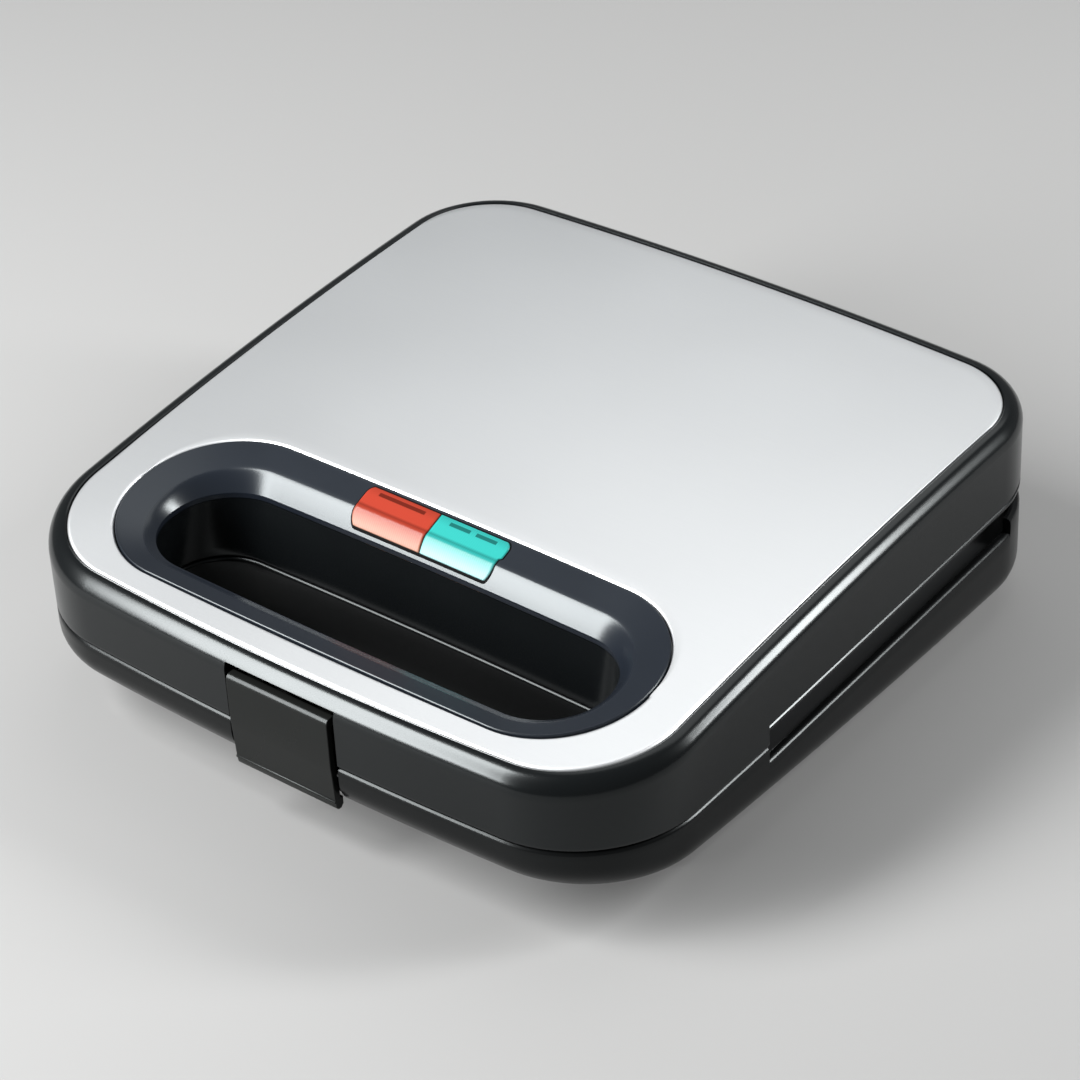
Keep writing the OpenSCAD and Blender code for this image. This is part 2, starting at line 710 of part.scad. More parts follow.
// Triangle moved in by a distance, and a triangle with its corners rounded to a radius
function unit(v) = v / norm(v);
function set_in(p, q, s, by) = let (u = unit(q - p), v = unit(s - p))
    p + unit(u + v) * by / sin(acos(u * v) / 2);
function pulled_in(t, by) = [for (i = [0 : 2]) set_in(t[i], t[(i + 1) % 3], t[(i + 2) % 3], by)];
function round_triangle(t, r) = [for (i = [0 : 2]) each let (
    p = t[i], q = t[(i + 1) % 3], s = t[(i + 2) % 3], c = set_in(p, q, s, r),
    d0 = unit(p - s), d1 = unit(q - p), a0 = atan2(-d0[0], d0[1]), sweep = acos(d0 * d1))
    [for (k = [0 : arc_steps]) let (a = a0 + sweep * k / arc_steps) c + r * [cos(a), sin(a)]]];

// Half of a square pocket, cut off along its diagonal: a solid to cut away, deepest at its far end
module pocket(half) {
    w = pocket_half_w;
    d = pocket_half_d;
    t = half > 0 ? [[-w, -d], [w, -d], [-w, d]] : [[w, d], [-w, d], [w, -d]];
    rings = [for (s = concat([[0, -overrun / pocket_h]], pocket_shares))
        flat_ring(round_triangle(pulled_in(t, ridge_w / 2 + s[0] * pocket_lean), pocket_r), s[1] * pocket_h)];
    n = len(rings[0]);
    m = len(rings);
    polyhedron([for (r = rings, p = r) p], concat(ring_faces(n, m, 0), [[for (i = [0 : n - 1]) i]],
        [[for (i = [n - 1 : -1 : 0]) (m - 1) * n + i]]));
}

// Upper plate of cast aluminium, with two triangular pockets for each slice of bread
module cooking_plate() {
    difference() {
        union() {
            cook_slab(0, cook_low, liner_low - bed_gap);
            cook_slab(basin_in, cook_low, basin_high);
        }
        for (side = [0, 1]) mirror([side, 0, 0]) translate([pocket_half_w, cook_mid_y, cook_low])
            for (half = [-1, 1]) pocket(half);
    }
}
module lower_cooking_plate() color("#2a2a2c") placed() turned_down() cooking_plate();
module upper_cooking_plate() color("#2a2a2c") placed() cooking_plate();

// Tubular element bent into a loop that is open at the rear
module heating_element() {
    w = cook_w / 4 + element_bend_r;
    front = cook_mid_y - cook_d / 4;
    r = element_bend_r;
    translate([0, 0, element_mid]) {
        rod(element_d, r - w, w - r, front, 0);
        for (s = [-1, 1]) {
            translate([s * w, front + r, 0]) rotate([-90, 0, 0]) cylinder(d = element_d, h = cook_d / 2 - r);
            translate([s * (w - r), front + r, 0]) rotate(s > 0 ? -90 : 180) rotate_extrude(angle = 90)
                translate([r, 0]) circle(d = element_d);
        }
    }
}
module lower_heating_element() color("#8a8578") placed() turned_down() heating_element();
module upper_heating_element() color("#8a8578") placed() heating_element();

// Shallow tray of bright sheet that throws the heat back at the plate
module reflector() {
    difference() {
        cook_slab(reflector_in, reflector_low, reflector_high + reflector_t);
        cook_slab(reflector_in + reflector_t, reflector_low - overrun, reflector_high);
    }
}
module lower_reflector() color("#b8babc") placed() turned_down() reflector();
module upper_reflector() color("#b8babc") placed() reflector();

// Snap-disc thermostat under the middle of the lower plate
module thermostat() color("#c9b58a") placed() translate([0, cook_mid_y, 0])
    post(thermostat_d, -basin_high - thermostat_h, -basin_high);

// Thermal fuse in its sleeve beside the thermostat
module thermal_fuse() color("#d8d4c8") placed()
    translate([thermostat_d, cook_mid_y - fuse_len / 2, -basin_high - fuse_d / 2 - bed_gap])
    rotate([-90, 0, 0]) cylinder(d = fuse_d, h = fuse_len);

// Terminal block with its three screw wells, on a pad of the base
module terminal_block() color("#e6e2d6") placed() difference() {
    block([-terminal_w / 2, terminal_y - terminal_d / 2, terminal_z],
        [terminal_w / 2, terminal_y + terminal_d / 2, terminal_z + terminal_h]);
    for (x = [-1, 0, 1]) translate([x * terminal_w / 3, terminal_y, 0])
        post(terminal_hole_d, terminal_z + terminal_h / 2, terminal_z + terminal_h + overrun);
}

// Bushing in the rear wall for the mains lead
module cord_gland() color("#151515") placed() translate([0, rear_wall_y, -gland_h]) rotate([-90, 0, 0])
    difference() {
        union() {
            post(gland_d - 2 * bed_gap, -gland_in, gland_flange_t);
            post(gland_flange_d, bed_gap, gland_flange_t);
        }
        post(cord_d, -gland_in - overrun, gland_flange_t + overrun);
    }

module hinge_pins() color("#b9bcc0") placed() at_hinges()
    rod(hinge_pin_d, -hinge_half, hinge_half, hinge_y, hinge_h);

// Screw with its head down and its shank up
module screw(seat, length) {
    post(screw_head_d, seat - screw_head_t, seat);
    post(screw_d, seat, seat + length);
}
module base_screws() color("#9a9ca0") placed() at_screws()
    screw(-base_head_h, base_head_h - pilot_h - bed_gap);
module lid_screws() color("#9a9ca0") placed() at_screws() screw(seat_h, screw_len);

// Rubber foot with the stem that holds it in its seat
module foot(x, y) {
    placed() translate([x, y, foot_seat_z - foot_t]) {
        cylinder(d1 = foot_d - foot_t / 2, d2 = foot_d, h = foot_t);
        post(foot_stem_d - 2 * bed_gap, 0, foot_t + foot_stem_h - bed_gap);
    }
}
module foot_front_left() color("#101010") foot(-foot_front_x, -foot_front_y);
module foot_front_right() color("#101010") foot(foot_front_x, -foot_front_y);
module foot_rear_left() color("#101010") foot(-foot_rear_x, foot_rear_y);
module foot_rear_right() color("#101010") foot(foot_rear_x, foot_rear_y);

// Crowned sheet of satin steel let into the top of the lid, with the opening for the bezel
module top_plate() color("#cfd3d6") placed() difference() {
    edge = body_outline(shoulder_r + plate_gap);
    skin([top_ring(edge, plate_t), top_ring(edge, 0)]);
    prism(bezel_outline(-plate_gap), 0, 2 * lid_rear_h);
}

// Black frame round the finger opening: a sloping band, a rounded inner edge and a short upright wall
module handle_bezel() color("#23272c") placed() difference() {
    band([bezel_ring(0, plate_t, 0), bezel_ring(0, -bezel_high, 0), bezel_ring(0.06, -bed_gap, 0),
        bezel_ring(0.69, band_drop, 0), bezel_ring(0.82, band_drop, 0.14), bezel_ring(0.93, band_drop, 0.45),
        bezel_ring(1, 0, 1), bezel_ring(1, bezel_t, 1), bezel_ring(0.86, bezel_t, 1),
        bezel_ring(0.66, band_drop + bezel_t, 0.1), bezel_ring(2 * bezel_lip_share, plate_t + bed_gap, 0)]);
    lens_solid(lens_x_low, lens_x_high, fit_gap);
}

// Lens profile that follows the slope and the rounded inner edge of the bezel
module lens_solid(x0, x1, grow) {
    out = lens_proud + (grow > 0 ? overrun : 0);
    in = lens_t + grow;
    bend_z = lid_top(-lens_bend_y) - band_drop;
    side_view([[grow - lens_back_y, lid_top(-lens_back_y) + out], [-lens_bend_y, bend_z + out],
        [-lens_bend_y - lens_t - out / 2, bend_z - lens_t * 0.6 + out * 0.6],
        [-lens_low_y - out, lens_low_z - grow], [in * 0.8 - lens_low_y, lens_low_z - grow],
        [lens_proud - lens_bend_y, bend_z - in], [grow - lens_back_y, lid_top(-lens_back_y) - in]], x0, x1);
}
module red_lens() color("#e0452c") placed() lens_solid(-lens_x - lens_w, -lens_x - bed_gap, 0);
module green_lens() color("#27b8a4") placed() lens_solid(bed_gap - lens_x, lens_w - lens_x, 0);

// Tray that holds the two neon lamps behind their lenses
module lamp_holder() color("#d9d6cc") placed() difference() {
    block([-lens_x - lens_w, -lamp_y - lamp_holder_d / 2 + bed_gap, lamp_shelf_z],
        [-lens_x + lens_w, lamp_holder_d / 2 - lamp_y, lamp_z]);
    rod(lamp_d, lamp_end - lens_x - lens_w, lens_w - lamp_end - lens_x, -lamp_y, lamp_z);
}
module neon_lamps() color("#f0b090") placed() for (s = [-1, 1]) translate([s * lens_w / 2 - lens_x, 0, 0])
    rod(lamp_d - 2 * bed_gap, -lamp_len / 2, lamp_len / 2, -lamp_y, lamp_z);

module latch_pin() color("#b9bcc0") placed()
    rod(latch_pin_d, -latch_pin_len / 2, latch_pin_len / 2, -latch_pin_y, latch_pin_h);

// Snap latch: a plate with two ears on the pin and a lip that hooks under the catch rib
module latch() color("#26282a") placed() difference() {
    tip_y = -catch_front_y - fit_gap;
    inner_y = latch_t - front_reach;
    shelf_y = inner_y + 1.5 * latch_round;
    union() {
        side_view([[-front_reach, latch_top_h - 2 * latch_round],
            [latch_round / 2 - front_reach, latch_top_h - latch_round / 2],
            [2 * latch_round - front_reach, latch_top_h], [shelf_y, latch_top_h],
            [shelf_y, latch_top_h - 2 * latch_round], [inner_y, latch_top_h - 3 * latch_round],
            [inner_y, 0], [latch_t - latch_low_y, -hook_h], [tip_y, -hook_h],
            [tip_y, latch_round - latch_low_h], [tip_y - latch_round, -latch_low_h],
            [latch_round / 2 - latch_low_y, -latch_low_h], [-latch_low_y, latch_round - latch_low_h],
            [-front_reach, 0]], -latch_w / 2, latch_w / 2);
        for (x0 = [ear_w / 2 - latch_w / 2, latch_w / 2 - 1.5 * ear_w]) {
            rod(ear_d, x0, x0 + ear_w, -latch_pin_y, latch_pin_h);
            block([x0, latch_t / 2 - front_reach, latch_pin_h - ear_d / 2],
                [x0 + ear_w, -latch_pin_y, latch_pin_h + ear_d / 2]);
        }
    }
    rod(latch_pin_d + 2 * pin_clear, -latch_w, latch_w, -latch_pin_y, latch_pin_h);
}

base_shell();
base_liner();
lower_cooking_plate();
lower_heating_element();
lower_reflector();
thermostat();
thermal_fuse();
terminal_block();
cord_gland();
hinge_pins();
base_screws();
foot_front_left();
foot_front_right();
foot_rear_left();
foot_rear_right();
lid_shell();
top_plate();
handle_bezel();
red_lens();
green_lens();
lamp_holder();
neon_lamps();
lid_liner();
upper_cooking_plate();
upper_heating_element();
upper_reflector();
lid_screws();
latch_pin();
latch();
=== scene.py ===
import json
import math

import bpy
import numpy as np
from mathutils import Matrix, Vector


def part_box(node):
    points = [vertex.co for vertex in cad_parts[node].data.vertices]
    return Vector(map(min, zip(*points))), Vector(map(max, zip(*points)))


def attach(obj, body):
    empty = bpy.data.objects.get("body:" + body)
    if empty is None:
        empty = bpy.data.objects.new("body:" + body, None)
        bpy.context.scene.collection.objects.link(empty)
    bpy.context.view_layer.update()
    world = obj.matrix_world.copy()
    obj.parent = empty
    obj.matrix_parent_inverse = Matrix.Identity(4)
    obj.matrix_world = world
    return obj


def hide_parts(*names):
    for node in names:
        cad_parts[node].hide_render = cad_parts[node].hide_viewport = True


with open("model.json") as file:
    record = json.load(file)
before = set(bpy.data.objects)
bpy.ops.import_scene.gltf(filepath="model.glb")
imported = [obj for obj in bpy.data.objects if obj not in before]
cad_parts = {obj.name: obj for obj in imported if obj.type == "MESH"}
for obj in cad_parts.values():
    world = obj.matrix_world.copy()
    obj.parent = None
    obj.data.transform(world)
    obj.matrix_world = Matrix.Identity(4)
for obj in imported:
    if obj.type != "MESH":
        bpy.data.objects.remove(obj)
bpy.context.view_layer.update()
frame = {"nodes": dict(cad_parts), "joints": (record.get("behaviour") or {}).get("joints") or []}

# The camera stands off the machine's right front corner and looks down on its lid. Its turn, height,
# roll, distance and lens lay the model over the object in the photograph. Below, heights are given from
# the seam between lid and base, and distances to the rear from the middle of the steel plate.
hinge_z = 0.002
lid_hinge = next(joint for joint in frame["joints"] if joint["name"] == "lid_hinge")
seam_z = lid_hinge["pos_m"][2] - hinge_z
mid_y = -0.0012
datum = (0.0, mid_y, seam_z)
azimuth, elevation, roll = (math.radians(angle) for angle in (39.451, 35.667, -3.042))
distance = 1.096821
shift_right, shift_up = 0.000779, 0.00035
sensor_width, focal_length = 36.0, 118.852
nearest_seen, farthest_seen = 0.05, 20.0


def placed(name, data):
    """New object in the scene."""
    made = bpy.data.objects.new(name, data)
    bpy.context.scene.collection.objects.link(made)
    return made


right = np.array((math.cos(azimuth), math.sin(azimuth), 0.0))
back = np.array((math.sin(azimuth) * math.cos(elevation), -math.cos(azimuth) * math.cos(elevation),
                 math.sin(elevation)))
up = np.cross(back, right)
rolled_right = right * math.cos(roll) + up * math.sin(roll)
rolled_up = up * math.cos(roll) - right * math.sin(roll)
camera_place = datum + shift_right * rolled_right + shift_up * rolled_up + distance * back

camera = placed("camera", bpy.data.cameras.new("camera"))
camera.data.sensor_width = sensor_width
camera.data.lens = focal_length
camera.data.clip_start, camera.data.clip_end = nearest_seen, farthest_seen
stand = np.eye(4)
stand[:3, :] = np.column_stack((rolled_right, rolled_up, back, camera_place))
camera.matrix_world = Matrix(stand.tolist())
bpy.context.scene.camera = camera

# The studio: a pale floor that the feet stand on, and large soft lights. One softbox over the left
# front draws the streak along the front shoulder, one behind the right side the streak along that
# side, and a broad one over the back fills the steel plate.
floor_half, floor_drop = 8.0, 0.0001
floor_mesh = bpy.data.meshes.new("floor")
floor_mesh.from_pydata([(x * floor_half, y * floor_half, -floor_drop)
                        for x, y in ((-1, -1), (1, -1), (1, 1), (-1, 1))], [], [(0, 1, 2, 3)])
floor = placed("floor", floor_mesh)


def new_material(name):
    """Material, its node tree and its Principled shader."""
    material = bpy.data.materials.new(name)
    material.use_nodes = True
    return material, material.node_tree, material.node_tree.nodes["Principled BSDF"]


def set_values(node, values):
    """Sets sockets of a node, given by name or by number."""
    for socket, value in values.items():
        node.inputs[socket].default_value = value


pale_paper, _, shader = new_material("pale_paper")
set_values(shader, {"Base Color": (0.24, 0.24, 0.238, 1), "Roughness": 0.85})
floor_mesh.materials.append(pale_paper)


def softbox(name, low, high, reach, width, power):
    """Rectangular soft light whose long sides run from the direction low to the direction high, both seen
    from the middle of the machine, which it faces from that reach."""
    low, high = (Vector(direction).normalized() * reach for direction in (low, high))
    light = bpy.data.lights.new(name, "AREA")
    light.shape = "RECTANGLE"
    light.size, light.size_y, light.energy = width, (high - low).length, power
    lamp = placed(name, light)
    lamp.visible_camera = False
    along = (high - low).normalized()
    middle = (low + high) / 2
    facing = (middle - along * middle.dot(along)).normalized()
    across = along.cross(facing)
    lamp.matrix_world = Matrix.Translation(middle + Vector(datum)) @ Matrix(
        (across, along, facing)).transposed().to_4x4()


softbox("left_front_softbox", (-0.42, -0.84, 0.16), (-0.46, -0.28, 0.84), 1.3, 0.42, 46.0)
softbox("right_rear_softbox", (0.76, 0.49, 0.28), (0.50, 0.49, 0.66), 1.3, 0.20, 19.0)
softbox("rear_softbox", (-0.26, 0.70, 0.64), (0.04, 0.16, 0.98), 1.1, 0.8, 3.15)
bpy.context.scene.view_settings.view_transform = "Standard"

studio = bpy.data.worlds.new("studio")
studio.use_nodes = True
set_values(studio.node_tree.nodes["Background"], {"Color": (0.95, 0.985, 1.0, 1), "Strength": 0.20})
bpy.context.scene.world = studio

# The lid's moulding: a gloss black plastic shell, one piece from its rounded shoulder down its nearly
# upright wall. Its lower edge steps up over the side gap, under a fine groove, and a pocket in the
# front holds the latch. The steel plate lies in a bed in its crowned top.
half_w, half_d = 0.1158, 0.1146
corner_front, corner_rear = 0.0378, 0.0313
bow_front, bow_rear = 0.0049, 0.0045
crown_reach, crown_middle, crown_rise, crown_fall = 0.1088, 0.034, 0.00635, 0.00365
shoulder, wall, seam, lip = 0.0058, 0.0026, 0.0003, 0.0005
plate_bed, plate_gap, bed_edge, bed_floor = 0.0014, 0.0004, 0.0003, 0.0024
bezel_y, bezel_bow = 0.0709, 0.0012
bed_hole_w, bed_hole_d, bed_hole_end = 0.094, 0.031, 0.0304
gap_start_y, gap_end_y = -0.042, 0.088
side_gap_above, side_gap_rise = 0.0056, 0.003
latch_half, pocket_top, pocket_depth = 0.0205, 0.0198, 0.0115
hood_margin, wall_shares = 0.0002, (0.0, 0.12, 0.35, 0.65)
groove_deep, groove_start_y = 0.00035, gap_start_y + 0.0001
groove_profile = ((0.0023, 0.0), (0.0021, groove_deep), (0.0016, groove_deep), (0.0013, 0.0), (lip, 0.0))
inner_corner = ((0.0, 0.0048), (0.004, 0.0034))
edge_reach = 0.0006
sharp_angle = math.radians(38)


def outline(u, inset=0.0, w=half_w, d=half_d, r_front=corner_front, r_rear=corner_rear, b_front=bow_front,
            b_rear=bow_rear, ahead=0.0):
    """Plan of a rounded rectangle moved in by inset. u runs from 0 at the front middle over the edge, corner,
    side, corner and edge of the right half to 5 at the rear middle, and back along the mirrored left half to
    10. The front and rear edges bow by a parabola of x."""
    w, d, r_front, r_rear = w - inset, d - inset, r_front - inset, r_rear - inset
    v = np.minimum(u, 10.0 - u)
    s = v - np.floor(np.minimum(v, 4.999))
    swing = s * math.pi / 2
    stretches = [v < 1, v < 2, v < 3, v < 4]
    x = np.select(stretches, [(w - r_front) * s, w - r_front + r_front * np.sin(swing), w + 0 * s,
                              w - r_rear + r_rear * np.cos(swing)], (w - r_rear) * (5.0 - v))
    y = np.select(stretches, [-d + 0 * s, r_front - d - r_front * np.cos(swing),
                              r_front - d + (2 * d - r_front - r_rear) * s,
                              d - r_rear + r_rear * np.sin(swing)], d + 0 * s)
    y = y + y / d * np.where(y < 0, b_front, b_rear) * (1 - (x / w) ** 2)
    return np.where(u > 5, -x, x), y - ahead


def lid_top(y):
    """Height of the lid's crown: a parabola through its front, middle and rear heights."""
    t = y / crown_reach
    return crown_middle + crown_rise * t - crown_fall * t ** 2


def around(places, corner_steps=22, edge_steps=14, side_steps=24):
    """Values of u round the whole outline: even steps along edges and corners, with places in the right half
    where extra columns stand, mirrored to the left."""
    steps = [np.linspace(k, k + 1, n, endpoint=False)
             for k, n in enumerate((edge_steps, corner_steps, side_steps, corner_steps, edge_steps))]
    half = np.unique(np.round(np.concatenate([*steps, places, [5.0]]), 6))
    return np.concatenate((half, 10.0 - half[-2:0:-1]))


def near(edge):
    """Places close to an edge where columns stand to round it."""
    return edge + np.array((-1.0, -0.6, -0.25, -0.02, 0.02, 0.25, 0.6, 1.0)) * edge_reach


def rounding(radius, *degrees):
    """Steps along a quarter round: how far each is from the side where it starts, and how far it still is
    from the side where it ends."""
    return [(radius * (1 - math.cos(angle)), radius * (1 - math.sin(angle))) for angle in np.radians(degrees)]


def shaped(name, points, faces, sharp_from=sharp_angle):
    """Object with these faces, shaded smooth but for edges sharper than an angle."""
    mesh = bpy.data.meshes.new(name)
    mesh.from_pydata((points + datum).tolist(), [], faces)
    mesh.shade_smooth()
    mesh.set_sharp_from_angle(angle=sharp_from)
    return placed(name, mesh)


def piece(name, grid, closed=True):
    """Mesh over a grid of points, rows by columns. The columns run round a loop; the last row joins the first
    where closed is true, and otherwise each end is closed by one face. The sign of its volume tells whether
    its faces point outwards, or have to be turned."""
    grid = np.array(grid)
    rows, cols = grid.shape[:2]
    points = grid.reshape(-1, 3)
    j, i = np.meshgrid(np.arange(rows if closed else rows - 1), np.arange(cols), indexing="ij")
    next_j, next_i = (j + 1) % rows, (i + 1) % cols
    quads = np.stack((j * cols + i, next_j * cols + i, next_j * cols + next_i, j * cols + next_i), -1)
    quads = quads.reshape(-1, 4)
    a, b, c, d = (points[quads[:, k]] for k in range(4))
    volume = np.sum(a * np.cross(b, c)) + np.sum(a * np.cross(c, d))
    faces = quads.tolist()
    if not closed:
        for ring, way in ((np.arange(cols), 1), (np.arange(cols) + (rows - 1) * cols, -1)):
            middle = points[ring].mean(0)
            volume += way * np.sum(np.cross(points[ring], points[np.roll(ring, -1)]) * middle)
            faces.append(ring[::way].tolist())
    if volume < 0:
        faces = [face[::-1] for face in faces]
    return shaped(name, points, faces)


def row(plan, z):
    """One row of a grid: the plan's x and y with a height for each point."""
    x, y = plan
    return np.stack((x, y, z + 0 * x), -1)


def under_top(points, sunk):
    """One row of a grid: points of the plan at a depth under the lid's crown."""
    return np.column_stack((points, lid_top(points[:, 1]) - sunk))


front_u = near(latch_half) / (half_w - corner_front)
step_u = 2 + (near(gap_start_y) + half_d - corner_front) / (2 * half_d - corner_front - corner_rear)
lid_u = around([*front_u, *step_u])
lid_x, lid_y = outline(lid_u)


def lid_edge(y):
    """Height of the lid's lower edge: level along the front, and from the step back a straight line that
    rises over the side gap. The step's corner is a quarter circle."""
    open_edge = side_gap_above + side_gap_rise * (y - gap_start_y) / (gap_end_y - gap_start_y)
    rounded = edge_reach * (1 - np.sqrt(np.clip(1 - ((y - gap_start_y) / edge_reach + 1) ** 2, 0, 1)))
    return np.where(y < gap_start_y, seam + np.where(y > gap_start_y - edge_reach, rounded, 0), open_edge)


def lid_row(inset, depth, pocket=0.0):
    """Row of the lid's skin at an inset from its wall and a depth under its top, set back by pocket at the
    latch."""
    x, y = outline(lid_u, inset)
    z = lid_top(y) - depth
    inside = (np.abs(x) < latch_half) & (y < 0)
    return np.stack((x, y + np.where(inside, pocket, 0.0), z), -1)


height = lid_top(lid_y) - lid_edge(lid_y)
in_latch = (np.abs(lid_x) < latch_half) & (lid_y < 0)
hood = lid_top(lid_y) - pocket_top
beside_gap = lid_y > groove_start_y
bed_hole = outline(lid_u, 0.0, bed_hole_w, bed_hole_d, bed_hole_end, bed_hole_end, bezel_bow, bezel_bow,
                   bezel_y)
rows = [under_top(np.stack(bed_hole, -1), plate_bed), lid_row(shoulder + plate_gap, plate_bed),
        lid_row(shoulder, plate_bed), lid_row(shoulder, bed_edge)]
for fall, inset in rounding(shoulder, *np.linspace(4, 90, 12)):
    rows.append(lid_row(inset, fall))
    hooded = in_latch & (fall > hood - hood_margin)
    rows[-1][hooded, 1] = lid_y[hooded] + shoulder - np.sqrt(
        np.maximum(shoulder ** 2 - (shoulder - hood[hooded]) ** 2, 0))
    rows[-1][hooded, 2] = pocket_top
rows += [lid_row(0.0, shoulder + (height - shoulder - lip) * share, pocket_depth) for share in wall_shares]
rows[-len(wall_shares)][in_latch, 2] = pocket_top
rows += [lid_row(sunk * beside_gap, height - above, pocket_depth) for above, sunk in groove_profile]
rows += [lid_row(inset, height - above, pocket_depth) for inset, above in rounding(lip, 30, 60, 90)]
rows += [lid_row(wall - left, height - above, pocket_depth) for above, left in rounding(lip, 0, 30, 60, 90)]
rows += [lid_row(wall + inward, depth, pocket_depth) for inward, depth in inner_corner]
rows.append(rows[0] - (0, 0, bed_floor))
lid_wall = piece("lid_moulding", rows)


def add_node(tree, kind, values, **settings):
    """New shader node with its settings and the values of its sockets."""
    node = tree.nodes.new("ShaderNode" + kind)
    for setting, value in settings.items():
        setattr(node, setting, value)
    set_values(node, values)
    return node


def join(tree, *links):
    """Joins sockets: each link names a node, its output, the next node and its input."""
    for source, output, target, socket in links:
        tree.links.new(source.outputs[output], target.inputs[socket])


def moulded(name, colour, roughness, spread, grain, bump, gloss=0.5):
    """Moulded plastic with a slightly cool gloss: its tone and roughness drift over the piece with a broad
    noise, and a fine noise bump gives the texture of the mould."""
    material, tree, shader = new_material(name)
    place = add_node(tree, "TexCoord", {})
    broad = add_node(tree, "TexNoise", {"Scale": 28.0, "Detail": 3.0})
    drift = add_node(tree, "MapRange", {"To Min": roughness - spread, "To Max": roughness + spread})
    fine = add_node(tree, "TexNoise", {"Scale": grain, "Detail": 4.0})
    relief = add_node(tree, "Bump", {"Strength": bump, "Distance": 0.0001})
    dark, light = ((*(c * share for c in colour), 1) for share in (0.8, 1.2))
    tint = add_node(tree, "Mix", {"A": dark, "B": light}, data_type="RGBA")
    join(tree, (place, "Object", broad, "Vector"), (place, "Object", fine, "Vector"),
         (broad, "Fac", drift, "Value"), (drift, "Result", shader, "Roughness"),
         (broad, "Fac", tint, "Factor"), (tint, "Result", shader, "Base Color"),
         (fine, "Fac", relief, "Height"), (relief, "Normal", shader, "Normal"))
    set_values(shader, {"Specular IOR Level": gloss, "Specular Tint": (0.93, 0.99, 1.0, 1)})
    return material


def dress(made, material, body, node, slot):
    """Gives a piece its material and the body it rides on, and hides the exact mesh of the node it stands
    for. The slot is not used.
    """
    made.data.materials.clear()
    made.data.materials.append(material)
    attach(made, body)
    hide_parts(node)


gloss_black = moulded("gloss_black_moulding", (0.0022, 0.0027, 0.0030), 0.21, 0.02, 2600.0, 0.004, gloss=0.33)
lid_part = (gloss_black, "lid", "lid_shell", "housing_gloss")
dress(lid_wall, *lid_part)

# The wall of the finger opening in the lid, part of the same moulding. It leans in a little from its
# rim down to the seam, and its lower edge is rounded where it meets the base.
well_w, well_d, well_y = 0.0815, 0.0205, 0.073
well_draft, draft_end_z, well_top_z = 0.005, -0.001, 0.020
end_share = 0.98
lid_well_profile = ((0.0, 0.0200), (0.0, 0.0150), (0.0, 0.0090), (0.0, 0.0035), (0.0, 0.0011),
                    (-0.0001, 0.0007), (-0.0003, 0.0004), (-0.0007, 0.0003), (-0.0022, 0.0003),
                    (-0.0022, 0.0090), (-0.0022, 0.0190))


def well_plan(u, z, inset=0.0):
    """Plan of the finger opening at a height: a bowed oblong with round ends, whose rear wall stands further
    forward the lower it is, down to the end of its draught."""
    lean = well_draft * (1 - np.maximum(z, draft_end_z) / well_top_z) / 2
    end = (well_d - lean) * end_share
    return outline(u, inset, well_w, well_d - lean, end, end, bezel_bow, bezel_bow, well_y + lean)


well_u = around([], 26)
lid_well = piece("lid_finger_opening", [row(well_plan(well_u, z, inset), z) for inset, z in lid_well_profile])
dress(lid_well, *lid_part)

# The top plate: one sheet of satin stainless steel, crowned from front to rear and let flush into the
# lid. Its outer edge and the edge round the handle are turned down and catch the light as a thin line.
bezel_half_w, bezel_half_d = 0.0951, 0.0322
fold, fold_tail = 0.0011, 0.0001


def bezel_plan(u, inset=0.0):
    """Plan of the handle's bezel, a bowed oblong with round ends."""
    end = bezel_half_d * end_share
    return outline(u, inset, bezel_half_w, bezel_half_d, end, end, bezel_bow, bezel_bow, bezel_y)


plate_u = around([], 30)
hole = np.stack(bezel_plan(plate_u, -plate_gap), -1)
rim = np.stack(outline(plate_u, shoulder + plate_gap), -1)
span = np.linalg.norm(rim - hole, axis=1, keepdims=True)
outward = (rim - hole) / span
turned_down = rounding(fold, *np.linspace(0, 90, 6))
rows = [under_top(hole, fold + fold_tail)]
rows += [under_top(hole + outward * inward, sunk) for inward, sunk in turned_down]
rows += [under_top(hole + outward * (fold + (span - 2 * fold) * share), 0.0)
         for share in np.linspace(0, 1, 42)[1:-1]]
rows += [under_top(rim - outward * inward, sunk) for inward, sunk in turned_down[::-1]]
rows.append(under_top(rim, fold + fold_tail))
steel_plate = piece("steel_top_plate", rows)


def metal(name, dark, light, dull_low, dull_high, stretch, bump=0.05, depth=0.0001, patches=None):
    """Bare metal: tone and grain follow a noise that is stretched along the three axes. So does the
    roughness, unless a scale of patches lets it drift with a noise of its own."""
    material, tree, shader = new_material(name)
    place = add_node(tree, "TexCoord", {})
    stretched = add_node(tree, "Mapping", {"Scale": stretch})
    grain = add_node(tree, "TexNoise", {"Scale": 1.0, "Detail": 5.0})
    tone = add_node(tree, "Mix", {"A": (*dark, 1), "B": (*light, 1)}, data_type="RGBA")
    dull = add_node(tree, "MapRange", {"To Min": dull_low, "To Max": dull_high})
    relief = add_node(tree, "Bump", {"Strength": bump, "Distance": depth})
    join(tree, (place, "Object", stretched, "Vector"), (stretched, "Vector", grain, "Vector"),
         (grain, "Fac", tone, "Factor"), (tone, "Result", shader, "Base Color"),
         (grain, "Fac", relief, "Height"), (relief, "Normal", shader, "Normal"),
         (grain, "Fac", dull, "Value"), (dull, "Result", shader, "Roughness"))
    if patches:
        drift = add_node(tree, "TexNoise", {"Scale": patches})
        join(tree, (place, "Object", drift, "Vector"), (drift, "Fac", dull, "Value"))
    set_values(shader, {"Metallic": 1.0})
    return material


satin_steel = metal("satin_steel", (0.67, 0.685, 0.695), (0.70, 0.715, 0.725), 0.42, 0.50,
                    (60.0, 5000.0, 60.0), 0.03, 0.00005, patches=9.0)
dress(steel_plate, satin_steel, "lid", "top_plate", "plate_steel")

